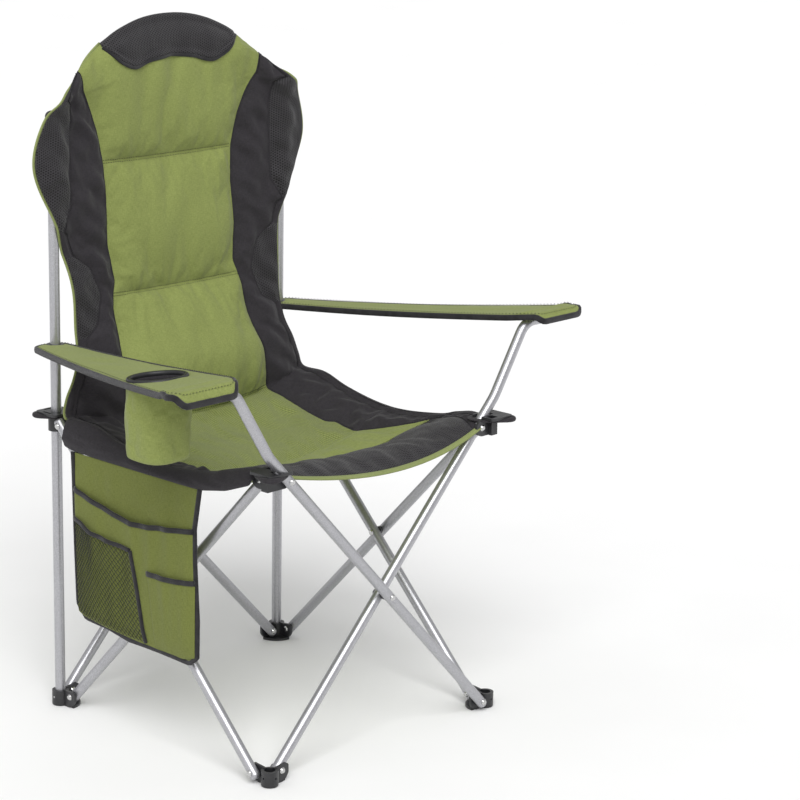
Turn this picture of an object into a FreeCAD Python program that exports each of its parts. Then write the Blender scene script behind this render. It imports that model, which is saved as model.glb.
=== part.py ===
import FreeCAD, Part
import math
import os

# Folding camp chair with a padded high back: four feet, four seat hubs and eight tubes that cross in
# pairs on each side, two upright rear poles, a quilted back and seat, two fabric arms, a cup pocket and
# a side pocket. Units are millimetres. The origin is on the floor under the middle of the frame.
# +Z is up, the chair faces -Y, and left is -X. Every tube lies in a plane beside its own side of the
# square frame, so the whole frame folds to a bundle with its feet and hubs upright.

V = FreeCAD.Vector

# --- driving dimensions ---
HALF = 235.0            # foot sockets stand at (+-HALF, +-HALF)
TUBE_R = 8.0
TUBE_WALL = 1.2
PIVOT_IN = 24.0         # rivet to socket axis, along each side
FOOT_PIVOT_Z = 17.0
HUB_PIVOT_Z = 456.0
HUB_TOP_Z = 473.0
POLE_TOP_Z = 922.0
BACK_TOP_Z = 1057.0
ARM_REAR_Z = 572.0      # underside of the arm at the rear pole
ARM_FRONT_Z = 615.0     # underside of the arm above its post
ARM_REACH_X = 425.0     # outer front corner of each arm
SEAT_SAG = 48.0         # drop of the seat's edges between two hubs
POCKET_TOP_Z = 428.0
POCKET_BOTTOM_Z = 160.0

# --- clearances and small sizes ---
GAP = 0.3               # between faces of different bodies
RUN = 0.06              # radial running clearance of a rivet in a tube
EAR_T = 4.4
RIVET_R = 2.5
RIVET_HEAD_R = 5.0
RIVET_HEAD_H = 1.8
TUBE_END = 11.0         # tube past its rivet
TUBE_END_ROUND = 4.9
SOCKET_R = TUBE_R + GAP
COLLAR_R = 13.0
FOOT_H = 24.0
FOOT_FLOOR = 4.0
FLANGE_HALF = 23.0
FLANGE_T = 4.0
PIN_R = 1.5
PIN_Z = 14.0

# --- sizes that follow ---
OFFSET = EAR_T / 2 + GAP + TUBE_R          # tube axis to ear plane
SPAN = 2 * (HALF - PIVOT_IN)               # rivet to rivet, level
CROSS_Z = (HUB_PIVOT_Z + FOOT_PIVOT_Z) / 2
HEAD_SEAT = OFFSET + TUBE_R + GAP          # rivet head plane beyond a tube

CORNERS = {
    "rear_left": (-1, 1),
    "rear_right": (1, 1),
    "front_left": (-1, -1),
    "front_right": (1, -1),
}
# side: level direction along the side from its first corner to its second, and outward normal
SIDES = {
    "left": (V(0, -1, 0), V(-1, 0, 0)),
    "front": (V(1, 0, 0), V(0, -1, 0)),
    "right": (V(0, 1, 0), V(1, 0, 0)),
    "rear": (V(-1, 0, 0), V(0, 1, 0)),
}
INNER = -1
OUTER = 1

os.makedirs("parts", exist_ok=True)


def save(name, *solids):
    """Write one node: a single solid, or identical pieces together."""
    shape = solids[0] if len(solids) == 1 else Part.makeCompound(list(solids))
    shape.exportStep(f"parts/{name}.step")


def clean_fuse(shapes):
    fused = shapes[0].multiFuse(shapes[1:]) if len(shapes) > 1 else shapes[0]
    return fused.removeSplitter()


def rod(start, end, radius):
    return Part.makeCylinder(radius, (end - start).Length, start, end - start)


def prism(points, direction):
    """Closed outline of points (or 3-point arcs given as triples) pushed along direction."""
    edges = []
    here = points[0]
    for step in points[1:] + [points[0]]:
        if isinstance(step, tuple):
            edges.append(Part.Arc(here, step[0], step[1]).toShape())
            here = step[1]
        elif (step - here).Length > 1e-6:
            edges.append(Part.LineSegment(here, step).toShape())
            here = step
    return Part.Face(Part.Wire(edges)).extrude(direction)


def at_corner(shape, corner):
    """Put a shape drawn about the Z axis, with its ears along +X and +Y, at a corner of the frame."""
    sx, sy = CORNERS[corner]
    if sx > 0:
        shape = shape.mirror(V(0, 0, 0), V(1, 0, 0))
    if sy > 0:
        shape = shape.mirror(V(0, 0, 0), V(0, 1, 0))
    return shape.translated(V(sx * HALF, sy * HALF, 0))


def both_ears(ear):
    """The ear along +X and its twin along +Y."""
    twin = ear.mirror(V(0, 0, 0), V(1, -1, 0))
    return [ear, twin]


# --- feet and hubs ---

def ear_hole(z):
    return rod(V(PIVOT_IN, -EAR_T, z), V(PIVOT_IN, EAR_T, z), RIVET_R)


def foot_ear():
    reach = PIVOT_IN + 12
    y = -EAR_T / 2
    outline = [
        V(0, y, 0),
        V(16, y, 0),
        (V(29, y, 3), V(reach, y, 13)),
        V(reach, y, 22),
        (V(reach - 1.5, y, 25.5), V(reach - 5, y, 27)),
        V(0, y, FOOT_H),
    ]
    return prism(outline, V(0, EAR_T, 0)).cut(ear_hole(FOOT_PIVOT_Z))


def foot(corner):
    """Moulded foot: an upright socket at the outer corner and two ears for the tube rivets."""
    collar = Part.makeCylinder(COLLAR_R, FOOT_H)
    lower_rim = [e for e in collar.Edges if len(e.Vertexes) == 1 and e.CenterOfMass.z < 1]
    collar = collar.makeFillet(2.5, lower_rim)
    web = Part.makeCylinder(PIVOT_IN + 7, FOOT_FLOOR, V(0, 0, 0), V(0, 0, 1), 90)
    body = clean_fuse([collar, web] + both_ears(foot_ear()))
    body = body.cut(Part.makeCylinder(SOCKET_R, FOOT_H, V(0, 0, FOOT_FLOOR)))
    for outward in (V(-1, 0, 0), V(0, -1, 0)):
        body = body.cut(rod(V(0, 0, PIN_Z), V(0, 0, PIN_Z) + outward * 2 * COLLAR_R, PIN_R))
    return at_corner(body, corner)


def hub_ear():
    y = -EAR_T / 2
    r = HUB_TOP_Z - FLANGE_T - HUB_PIVOT_Z
    outline = [
        V(0, y, HUB_PIVOT_Z + r),
        V(PIVOT_IN, y, HUB_PIVOT_Z + r),
        (V(PIVOT_IN + r, y, HUB_PIVOT_Z), V(PIVOT_IN, y, HUB_PIVOT_Z - r)),
        V(0, y, HUB_PIVOT_Z - r),
    ]
    return prism(outline, V(0, EAR_T, 0)).cut(ear_hole(HUB_PIVOT_Z))


def flange():
    size = 2 * FLANGE_HALF
    plate = Part.makeBox(size, size, FLANGE_T, V(-FLANGE_HALF, -FLANGE_HALF, HUB_TOP_Z - FLANGE_T))
    upright = [e for e in plate.Edges if abs(e.tangentAt(0).z) > 0.9]
    return plate.makeFillet(6.0, upright)


def box_between(low, high):
    size = high - low
    return Part.makeBox(size.x, size.y, size.z, low)


def rear_hub(corner):
    """Seat hub that slides on the rear pole, with slots in its flange where the seat is sewn on."""
    low = 2 * HUB_PIVOT_Z - HUB_TOP_Z + FLANGE_T
    collar = Part.makeCylinder(COLLAR_R - 0.5, HUB_TOP_Z - FLANGE_T - low, V(0, 0, low))
    body = clean_fuse([flange(), collar] + both_ears(hub_ear()))
    body = body.cut(Part.makeCylinder(SOCKET_R, HUB_TOP_Z, V(0, 0, low - 1)))
    slot = box_between(V(-9, -20, HUB_TOP_Z - FLANGE_T), V(9, -16, HUB_TOP_Z))
    body = body.cut(slot).cut(slot.mirror(V(0, 0, 0), V(1, -1, 0)))
    return at_corner(body, corner)


def front_hub(corner, post_side):
    """Seat hub with a notch for the arm post, which swings through the flange as the chair folds."""
    low = 2 * HUB_PIVOT_Z - HUB_TOP_Z + FLANGE_T
    wall = EAR_T / 2
    post_near = EAR_T / 2 - 0.3
    post_far = OFFSET + TUBE_R + 0.6
    block = box_between(V(-9, -wall, low), V(wall, 11, HUB_TOP_Z - FLANGE_T))
    if post_side == INNER:
        block = block.mirror(V(0, 0, 0), V(1, -1, 0))
    body = clean_fuse([flange(), block] + both_ears(hub_ear()))
    y_low, y_high = sorted((-post_side * post_near, -post_side * post_far))
    notch = box_between(V(-5, y_low, HUB_TOP_Z - FLANGE_T - 7), V(60, y_high, HUB_TOP_Z + 1))
    other = box_between(V(5, -y_high + 3, HUB_TOP_Z - FLANGE_T), V(19, -y_low - 2, HUB_TOP_Z + 1))
    return at_corner(body.cut(notch).cut(other), corner)


# --- rivets ---

def rivet(centre, along, start, end):
    """Rivet with a head outside each end of its grip; start and end are distances along its axis."""
    shank = rod(centre + along * start, centre + along * end, RIVET_R)
    heads = []
    for reach, way in ((start, -1), (end, 1)):
        seat = centre + along * reach
        heads.append(Part.makeCone(RIVET_HEAD_R, 3.2, RIVET_HEAD_H, seat, along * way))
    return clean_fuse([shank] + heads)


def ear_rivet(side, end, z, layer):
    """The rivet of one tube end; end is -1 or 1 along the side, layer says which side of the ear."""
    along, out = SIDES[side]
    centre = out * HALF + along * (end * (HALF - PIVOT_IN)) + V(0, 0, z)
    if layer == INNER:
        return rivet(centre, out, -HEAD_SEAT, EAR_T / 2)
    return rivet(centre, out, -EAR_T / 2, HEAD_SEAT)


def crossing_rivet(side):
    out = SIDES[side][1]
    return rivet(out * HALF + V(0, 0, CROSS_Z), out, -HEAD_SEAT, HEAD_SEAT)


def crossing_spacer(side):
    out = SIDES[side][1]
    centre = out * HALF + V(0, 0, CROSS_Z)
    start = centre - out * (EAR_T / 2)
    end = centre + out * (EAR_T / 2)
    return rod(start, end, 6.5).cut(rod(start, end, RIVET_R + RUN))


# --- tubes ---

def rounded_path(points, radii):
    """Straight runs through points, joined by tangent arcs of the given radii at the inner ones."""
    edges = []
    here = points[0]
    for i, radius in enumerate(radii, start=1):
        back = (points[i - 1] - points[i]).normalize()
        ahead = (points[i + 1] - points[i]).normalize()
        half_turn = (math.pi - back.getAngle(ahead)) / 2
        trim = radius * math.tan(half_turn)
        start = points[i] + back * trim
        end = points[i] + ahead * trim
        bisector = (back + ahead).normalize()
        middle = points[i] + bisector * (radius / math.cos(half_turn) - radius)
        edges.append(Part.LineSegment(here, start).toShape())
        edges.append(Part.Arc(start, middle, end).toShape())
        here = end
    edges.append(Part.LineSegment(here, points[-1]).toShape())
    return Part.Wire(edges)


def swept(points, radii, radius):
    path = rounded_path(points, radii)
    section = Part.Wire(Part.makeCircle(radius, points[0], points[1] - points[0]))
    return path.makePipeShell([section], True, True)


def hollow(outer_points, radii, round_ends):
    """Steel tube along a path, with closed and rounded ends; its wall is cut open by the rivet holes."""
    first, second = outer_points[0], outer_points[1]
    last, before = outer_points[-1], outer_points[-2]
    outer = swept(outer_points, radii, TUBE_R)
    ends = [
        e for e in outer.Edges
        if len(e.Vertexes) == 1
        and min((e.CenterOfMass - p).Length for p in round_ends) < 0.5
    ]
    outer = outer.makeFillet(TUBE_END_ROUND, ends)
    inset = 3.0
    inner_points = list(outer_points)
    inner_points[0] = first + (second - first).normalize() * inset
    inner_points[-1] = last + (before - last).normalize() * inset
    return outer.cut(swept(inner_points, radii, TUBE_R - TUBE_WALL))


def tube_line(side, layer):
    """Foot rivet point and hub rivet point of a tube, on the tube's own axis.

    The inner tube of a side rises towards the side's second corner, the outer one towards its first.
    """
    along, out = SIDES[side]
    plane = out * (HALF + layer * OFFSET)
    rise_way = 1 if layer == INNER else -1
    low = plane + along * (-rise_way * SPAN / 2) + V(0, 0, FOOT_PIVOT_Z)
    high = plane + along * (rise_way * SPAN / 2) + V(0, 0, HUB_PIVOT_Z)
    return low, high


def drill(tube, side, low, high):
    """Rivet holes at both ends of a tube's working length and at its middle, where it crosses its pair."""
    out = SIDES[side][1]
    for centre in (low, high, (low + high) * 0.5):
        reach = out * (TUBE_R + 2)
        tube = tube.cut(rod(centre - reach, centre + reach, RIVET_R + RUN))
    return tube


def plain_tube(side, layer):
    low, high = tube_line(side, layer)
    way = (high - low).normalize()
    ends = [low - way * TUBE_END, high + way * TUBE_END]
    return drill(hollow(ends, [], ends), side, low, high)


POST_BEND_Z = 497.0     # where the tube turns steeper above its hub
POST_TOP_Z = 603.5      # axis of the level end under the arm
POST_BEND_RADII = [90.0, 34.0]
POST_TOP_X = 318.0
POST_TIP_X = 396.0


def post_tube(layer):
    """Front tube that carries on past its hub as an arm post and ends level under the arm."""
    low, high = tube_line("front", layer)
    way = (high - low).normalize()
    side = 1 if layer == INNER else -1
    bend = high + way * ((POST_BEND_Z - HUB_PIVOT_Z) / way.z)
    corner = V(side * POST_TOP_X, high.y, POST_TOP_Z)
    tip = V(side * POST_TIP_X, high.y, POST_TOP_Z)
    points = [low - way * TUBE_END, bend, corner, tip]
    return drill(hollow(points, POST_BEND_RADII, [points[0]]), "front", low, high)


def post_cap(layer):
    """Plastic cap pushed over the level end of an arm post."""
    high = tube_line("front", layer)[1]
    side = 1 if layer == INNER else -1
    start = V(side * (POST_TIP_X - 14), high.y, POST_TOP_Z)
    tip = V(side * POST_TIP_X, high.y, POST_TOP_Z)
    outside = rod(start, tip + V(side * 2, 0, 0), TUBE_R + 1.2)
    rim = [e for e in outside.Edges if len(e.Vertexes) == 1 and abs(e.CenterOfMass.x) > POST_TIP_X]
    return outside.makeFillet(1.5, rim).cut(rod(start, tip, TUBE_R))


def pole(side_x):
    base = V(side_x * HALF, HALF, FOOT_FLOOR)
    top = V(side_x * HALF, HALF, POLE_TOP_Z)
    wall = rod(base, top, TUBE_R).cut(rod(base, top, TUBE_R - TUBE_WALL))
    return wall.cut(rod(pin_start(side_x), pin_start(side_x) - V(side_x * COLLAR_R, 0, 0), PIN_R))


def pin_start(side_x):
    return V(side_x * (HALF + COLLAR_R - 0.2), HALF, PIN_Z)


def pole_pin(side_x):
    """Pin that holds the pole in its foot, driven in from outside."""
    return rod(pin_start(side_x), pin_start(side_x) - V(side_x * 7.5, 0, 0), PIN_R)


def pole_cap(side_x):
    top = V(side_x * HALF, HALF, POLE_TOP_Z)
    plug = rod(top - V(0, 0, 12), top, TUBE_R - TUBE_WALL)
    dome = Part.makeCylinder(TUBE_R, 5, top)
    rim = [e for e in dome.Edges if len(e.Vertexes) == 1 and e.CenterOfMass.z > POLE_TOP_Z + 4]
    return clean_fuse([plug, dome.makeFillet(4.0, rim)])


# --- fabric: back and seat ---

def smooth_outline(right_half, y):
    """Closed wire in the plane y: a curve through the right-hand points and its mirror image."""
    points = [V(x, y, z) for x, z in right_half]
    right = Part.BSplineCurve()
    right.interpolate(points)
    left = Part.BSplineCurve()
    left.interpolate([V(-p.x, p.y, p.z) for p in reversed(points)])
    edges = [right.toShape()]
    if points[-1].x > 0:
        edges.append(Part.LineSegment(points[-1], V(-points[-1].x, y, points[-1].z)).toShape())
    edges.append(left.toShape())
    edges.append(Part.LineSegment(V(-points[0].x, y, points[0].z), points[0]).toShape())
    return Part.Wire(edges)


def seat_height(x, y):
    """Top of the seat: it hangs between the four hubs."""
    u = (x / HALF) ** 2
    v = (y / HALF) ** 2
    return HUB_TOP_Z - SEAT_SAG * (2 - u - v) + 11 * (1 - u) * (1 - v)


SEAT_REACH = HALF - FLANGE_HALF - 1.0      # inside the hub flanges and the inner tubes
SEAT_T = 14.0


def seat_surface(y_near, y_far, lift=0.0):
    """Top of the seat between two lines of constant y, raised by lift."""
    steps = 5
    grid = []
    for i in range(steps):
        x = -SEAT_REACH + 2 * SEAT_REACH * i / (steps - 1)
        row = []
        for j in range(steps):
            y = y_near + (y_far - y_near) * j / (steps - 1)
            row.append(V(x, y, seat_height(x, y) + lift))
        grid.append(row)
    surface = Part.BSplineSurface()
    surface.interpolate(grid)
    return surface.toShape()


def seat_half(y_near, y_far):
    return seat_surface(y_near, y_far).extrude(V(0, 0, -SEAT_T))


def back_pad():
    """Quilted back: hollow between the poles, with side wings that wrap in front of them."""
    right_half = [
        (196, 477), (205, 575), (222, 680), (246, 755), (276, 840), (270, 893),
        (238, 934), (196, 980), (136, 1024), (60, 1052), (0, BACK_TOP_Z),
    ]
    face = Part.Face(smooth_outline(right_half, 150))
    outline = face.extrude(V(0, 150, 0))
    rear_of_wing = HALF - TUBE_R - 1.0
    section = [
        V(-290, 207, 0), V(-215, 211, 0), (V(0, 240, 0), V(215, 211, 0)), V(290, 207, 0),
        V(290, rear_of_wing, 0), V(205, rear_of_wing, 0),
        (V(0, 255, 0), V(-205, rear_of_wing, 0)), V(-290, rear_of_wing, 0),
    ]
    upper = prism(section, V(0, 0, 1200)).common(outline)
    half_width = 190
    lower_profile = [
        V(-half_width, 216, 500), V(-half_width, 238, 500), V(-half_width, 232, 482),
        V(-half_width, 211, 470), V(-half_width, 200, 405), V(-half_width, 184, 405),
        V(-half_width, 193, 470),
    ]
    lower = prism(lower_profile, V(2 * half_width, 0, 0))
    below_seat_top = seat_surface(GAP, SEAT_REACH, lift=1.5).extrude(V(0, 0, -80))
    return clean_fuse([upper, lower.cut(below_seat_top)])


# --- fabric: arms and pockets ---

CUP_X = -338.0
CUP_Y = -112.0
CUP_R = 40.0
CUP_BOTTOM_Z = 487.0
ARM_T = 3.5
ARM_SLOPE = (ARM_FRONT_Z - ARM_REAR_Z) / (2 * HALF + OFFSET)
RING_R = 14.0


def arm_z(y):
    """Underside of an arm, a plane that rises towards the front."""
    return ARM_REAR_Z + ARM_SLOPE * (HALF - y)


def arm(side_x, front_y):
    """Flat strip from the ring on the rear pole, widening to a front hem over the post's level end."""
    def at(x, y):
        return V(side_x * x, y, arm_z(y))

    outline = [
        at(262, 232),
        (at(237, 255), at(212, 232)),
        at(300, front_y + 18),
        (at(303, front_y + 5), at(316, front_y)),
        at(402, front_y + 3),
        (at(420, front_y + 8), at(ARM_REACH_X, front_y + 26)),
    ]
    strip = prism(outline, V(0, 0, ARM_T))
    ring_seat = Part.makeCylinder(RING_R, 60, V(side_x * HALF, HALF, ARM_REAR_Z - 30))
    strip = strip.cut(ring_seat)
    if side_x < 0:
        strip = strip.cut(Part.makeCylinder(CUP_R, 80, V(CUP_X, CUP_Y, arm_z(CUP_Y) - 40)))
    return strip


def arm_ring(side_x):
    """Grommet round the rear pole that the arm hangs from."""
    base = V(side_x * HALF, HALF, ARM_REAR_Z - 1.5)
    ring = Part.makeCylinder(RING_R, 7.0, base)
    rims = [e for e in ring.Edges if len(e.Vertexes) == 1]
    return ring.makeFillet(2.0, rims).cut(Part.makeCylinder(TUBE_R + 0.4, 7.0, base))


def cup_ring():
    """Stiff hoop sewn round the hole in the left arm, lying on the arm's slope."""
    up = V(0, ARM_SLOPE, 1).normalize()
    base = V(CUP_X, CUP_Y, arm_z(CUP_Y) + ARM_T)
    hoop = Part.makeCylinder(CUP_R + 3, 2.6, base, up)
    return hoop.cut(Part.makeCylinder(CUP_R - 1, 2.6, base, up))


def cup_pocket():
    """Fabric tube with a floor, sewn to the underside of the left arm below its hole."""
    high = 200
    outside = Part.makeCylinder(CUP_R + 2, high, V(CUP_X, CUP_Y, CUP_BOTTOM_Z))
    inside = Part.makeCylinder(CUP_R, high, V(CUP_X, CUP_Y, CUP_BOTTOM_Z + 2))
    near, far = CUP_Y - 60, CUP_Y + 60
    above_arm = prism(
        [V(CUP_X - 60, near, arm_z(near)), V(CUP_X - 60, far, arm_z(far)), V(CUP_X - 60, far, 900),
         V(CUP_X - 60, near, 900)],
        V(120, 0, 0),
    )
    return outside.cut(inside).cut(above_arm)


POCKET_X = -(HALF + HEAD_SEAT + RIVET_HEAD_H + 1.5)    # outside the rivet heads of the outer tube
POCKET_REAR_Y = 158.0
POCKET_FRONT_Y = -112.0
CLOTH = 1.5
POUCH_DEPTH = 6.0


def panel():
    """Back sheet of the side pocket, with rounded lower corners."""
    sheet = box_between(
        V(POCKET_X - CLOTH, POCKET_FRONT_Y, POCKET_BOTTOM_Z), V(POCKET_X, POCKET_REAR_Y, POCKET_TOP_Z)
    )
    lower = [
        e for e in sheet.Edges
        if abs(e.tangentAt(0).x) > 0.9 and e.CenterOfMass.z < POCKET_BOTTOM_Z + 1
    ]
    return sheet.makeFillet(22.0, lower)


def pouch(layer, y_low, y_high, z_low, z_high):
    """Open-topped pouch; layer 0 lies on the panel, layer 1 on the pouch before it."""
    back = POCKET_X - CLOTH - layer * (POUCH_DEPTH + CLOTH)
    front = back - POUCH_DEPTH - CLOTH
    outside = box_between(V(front, y_low, z_low), V(back, y_high, z_high))
    inside = box_between(
        V(front + CLOTH, y_low + CLOTH, z_low + CLOTH), V(back, y_high - CLOTH, z_high + 1)
    )
    return outside.cut(inside)


def main():
    save("foot_rear_left", foot("rear_left"))
    save("foot_rear_right", foot("rear_right"))
    save("foot_front_left", foot("front_left"))
    save("foot_front_right", foot("front_right"))
    save("hub_rear_left", rear_hub("rear_left"))
    save("hub_rear_right", rear_hub("rear_right"))
    save("hub_front_left", front_hub("front_left", OUTER))
    save("hub_front_right", front_hub("front_right", INNER))

    for side in ("left", "right", "rear"):
        save(f"tube_{side}_inner", plain_tube(side, INNER))
        save(f"tube_{side}_outer", plain_tube(side, OUTER))
    save("tube_front_inner", post_tube(INNER))
    save("tube_front_outer", post_tube(OUTER))
    save("post_cap_right", post_cap(INNER))
    save("post_cap_left", post_cap(OUTER))

    # Each corner holds the foot ends of one inner and one outer tube, and so does each hub.
    corner_sides = {
        "rear_left": (("left", -1), ("rear", 1)),
        "front_left": (("front", -1), ("left", 1)),
        "front_right": (("right", -1), ("front", 1)),
        "rear_right": (("rear", -1), ("right", 1)),
    }
    for corner, (first, second) in corner_sides.items():
        feet = [ear_rivet(*first, FOOT_PIVOT_Z, INNER), ear_rivet(*second, FOOT_PIVOT_Z, OUTER)]
        hubs = [ear_rivet(*first, HUB_PIVOT_Z, OUTER), ear_rivet(*second, HUB_PIVOT_Z, INNER)]
        save(f"foot_rivets_{corner}", *feet)
        save(f"hub_rivets_{corner}", *hubs)

    for side in SIDES:
        save(f"crossing_rivet_{side}", crossing_rivet(side))
        save(f"crossing_spacer_{side}", crossing_spacer(side))

    for name, side_x in (("left", -1), ("right", 1)):
        save(f"pole_{name}", pole(side_x))
        save(f"pole_cap_{name}", pole_cap(side_x))
        save(f"pole_pin_{name}", pole_pin(side_x))
        save(f"arm_ring_{name}", arm_ring(side_x))

    save("back_pad", back_pad())
    save("seat_rear", seat_half(GAP, SEAT_REACH))
    save("seat_front", seat_half(-SEAT_REACH, -GAP))

    front_lip_left = -(HALF + OFFSET + TUBE_R + 1.0)
    front_lip_right = -(HALF - OFFSET + TUBE_R + 4.0)
    save("arm_left", arm(-1, front_lip_left))
    save("arm_right", arm(1, front_lip_right))
    save("cup_ring", cup_ring())
    save("cup_pocket", cup_pocket())

    save("pocket_panel", panel())
    save("pocket_large", pouch(0, -108, 154, 176, 368))
    save("pocket_mesh", pouch(1, 28, 152, 178, 324))
    save("pocket_pen", pouch(1, -106, -10, 178, 284))


main()
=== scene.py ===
"""Looks for the folding camp chair: padded sling, arms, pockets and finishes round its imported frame."""
import math

import bpy
import numpy as np
from mathutils import Euler, Matrix, Vector, noise
from mathutils.geometry import delaunay_2d_cdt


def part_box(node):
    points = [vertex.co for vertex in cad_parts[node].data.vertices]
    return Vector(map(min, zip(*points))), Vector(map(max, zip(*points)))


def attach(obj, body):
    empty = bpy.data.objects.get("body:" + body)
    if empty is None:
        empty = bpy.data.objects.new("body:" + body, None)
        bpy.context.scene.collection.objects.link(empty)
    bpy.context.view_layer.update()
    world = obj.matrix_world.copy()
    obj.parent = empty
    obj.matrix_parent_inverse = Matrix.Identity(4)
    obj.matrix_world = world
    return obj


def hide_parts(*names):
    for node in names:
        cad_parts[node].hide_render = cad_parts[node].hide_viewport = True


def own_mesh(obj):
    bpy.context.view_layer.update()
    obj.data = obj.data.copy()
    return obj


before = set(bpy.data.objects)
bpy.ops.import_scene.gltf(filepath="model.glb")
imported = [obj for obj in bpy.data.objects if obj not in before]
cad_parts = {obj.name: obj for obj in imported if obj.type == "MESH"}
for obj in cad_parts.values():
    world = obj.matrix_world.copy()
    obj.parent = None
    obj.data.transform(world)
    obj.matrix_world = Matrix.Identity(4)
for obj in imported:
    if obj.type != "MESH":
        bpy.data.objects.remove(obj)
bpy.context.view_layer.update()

# ---------------------------------------------------------------- places, in metres, read from the frame

POLE_LOW, POLE_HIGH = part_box("pole_left")
HALF = -(POLE_LOW.x + POLE_HIGH.x) / 2  # from the middle to a corner's axis
HUB_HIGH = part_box("hub_front_left")[1]
CUP_LOW, CUP_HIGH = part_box("cup_pocket")
PANEL_LOW, PANEL_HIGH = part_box("pocket_panel")
SIDES = {"left": -1, "right": 1}
FOLD_KEEP = 1 / 6  # the share of its width that cloth across the frame keeps when it folds


# ---------------------------------------------------------------- materials

def linear(red, green, blue):
    """A screen colour, 0 to 255, as the renderer's linear colour."""
    values = []
    for value in (red, green, blue):
        share = value / 255
        values.append(share / 12.92 if share < 0.04045 else ((share + 0.055) / 1.055) ** 2.4)
    return (*values, 1.0)


class Finish:
    """One procedural material, with short ways to add nodes and join them."""

    def __init__(self, name, **settings):
        self.material = bpy.data.materials.new(name)
        self.material.use_nodes = True
        self.tree = self.material.node_tree
        self.shader = self.tree.nodes["Principled BSDF"]
        for socket, value in settings.items():
            self.shader.inputs[socket.replace("_", " ")].default_value = value

    def node(self, kind, inputs=None, **settings):
        made = self.tree.nodes.new("ShaderNode" + kind)
        for key, value in settings.items():
            setattr(made, key, value)
        for key, value in (inputs or {}).items():
            if isinstance(value, bpy.types.NodeSocket):
                self.tree.links.new(value, made.inputs[key])
            else:
                made.inputs[key].default_value = value
        return made

    def math(self, operation, *values):
        return self.node("Math", dict(enumerate(values)), operation=operation).outputs[0]

    def place(self):
        """Where a point is on the object."""
        return self.node("TexCoord").outputs["Object"]

    def cloth(self):
        """Where a point is on the flat cloth, along its width and its length."""
        return self.node("Attribute", attribute_name="weave").outputs["Vector"]

    def speckle(self, vector, size, detail=3.0, rough=0.5, stretch=None):
        """Soft noise with spots of about that size."""
        if stretch is not None:
            vector = self.node("VectorMath", {0: vector, 1: stretch}, operation="MULTIPLY").outputs[0]
        inputs = {"Vector": vector, "Scale": 1 / size, "Detail": detail, "Roughness": rough}
        return self.node("TexNoise", inputs).outputs["Fac"]

    def ramp(self, value, *stops):
        """A colour that follows value: stops are (value, colour)."""
        made = self.node("ValToRGB", {"Fac": value})
        bar = made.color_ramp
        for stop, (at, colour) in enumerate(stops):
            point = bar.elements[stop] if stop < 2 else bar.elements.new(at)
            point.position = at
            point.color = colour
        return made.outputs["Color"]

    def spread(self, value, low, high):
        """value from 0 to 1, as a number from low to high."""
        return self.node("MapRange", {"Value": value, "To Min": low, "To Max": high}).outputs[0]

    def threads(self, vector, pitch):
        """A plain weave, 0 to 1: warp and weft threads of that pitch, over and under each other."""
        parts = self.node("SeparateXYZ", {0: vector})
        turn = math.pi / pitch
        across = self.math("SINE", self.math("MULTIPLY", parts.outputs["X"], turn))
        along = self.math("SINE", self.math("MULTIPLY", parts.outputs["Y"], turn))
        return self.math("MULTIPLY_ADD", self.math("MULTIPLY", across, along), 0.5, 0.5)

    def tint(self, colour, by, low, high):
        """colour made darker or lighter by a value from 0 to 1."""
        shade = self.spread(by, low, high)
        mixed = self.node("Mix", {"Factor": 1.0}, data_type="RGBA", blend_type="MULTIPLY")
        for socket, value in ((mixed.inputs[6], colour), (mixed.inputs[7], shade)):
            if isinstance(value, bpy.types.NodeSocket):
                self.tree.links.new(value, socket)
            else:
                socket.default_value = value
        return mixed.outputs[2]

    def bump(self, height, depth, strength=1.0, under=None):
        inputs = {"Height": height, "Distance": depth, "Strength": strength}
        if under is not None:
            inputs["Normal"] = under
        return self.node("Bump", inputs).outputs["Normal"]

    def done(self, **sockets):
        for socket, value in sockets.items():
            self.tree.links.new(value, self.shader.inputs[socket.replace("_", " ")])
        return self.material


def woven(name, dark, light, pitch=0.0011, ribs=0.0, sheen=0.12):
    """Heathered polyester: light and dark yarns in a plain weave, with raised ribs of that pitch if any.
    Painted shade: the colour is darker where the threads dip under each other and in the ribs' troughs.
    """
    made = Finish(name, Sheen_Weight=sheen, Sheen_Roughness=0.45, Specular_IOR_Level=0.25)
    cloth = made.cloth()
    yarn_across = made.speckle(cloth, 0.0019, detail=3.0, rough=0.6, stretch=(0.3, 1.8, 1.0))
    yarn_along = made.speckle(cloth, 0.0019, detail=3.0, rough=0.6, stretch=(1.8, 0.3, 1.0))
    heather = made.math("MULTIPLY", made.math("ADD", yarn_across, yarn_along), 0.5)
    colour = made.ramp(heather, (0.2, dark), (0.8, light))
    weave = made.threads(cloth, pitch)
    # painted shade: darker where the weave's threads dip, lighter where they cross over
    colour = made.tint(colour, weave, 0.9, 1.06)
    colour = made.tint(colour, made.speckle(made.place(), 0.07), 0.93, 1.07)
    normal = made.bump(weave, 0.0003, 0.5)
    if ribs:
        parts = made.node("SeparateXYZ", {0: cloth})
        slant = made.math("MULTIPLY_ADD", parts.outputs["Y"], 0.35, parts.outputs["X"])
        wander = made.math("MULTIPLY", made.speckle(made.place(), 0.03), 0.004)
        wave = made.math("SINE", made.math("MULTIPLY", made.math("ADD", slant, wander), 2 * math.pi / ribs))
        rib = made.math("MULTIPLY_ADD", wave, 0.5, 0.5)
        # painted shade: the ribs' troughs darker, their crests lighter
        colour = made.tint(colour, rib, 0.72, 1.1)
        normal = made.bump(rib, 0.0013, 0.8, under=normal)
    rough = made.spread(made.speckle(made.place(), 0.02), 0.78, 0.92)
    return made.done(Base_Color=colour, Roughness=rough, Normal=normal)


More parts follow.
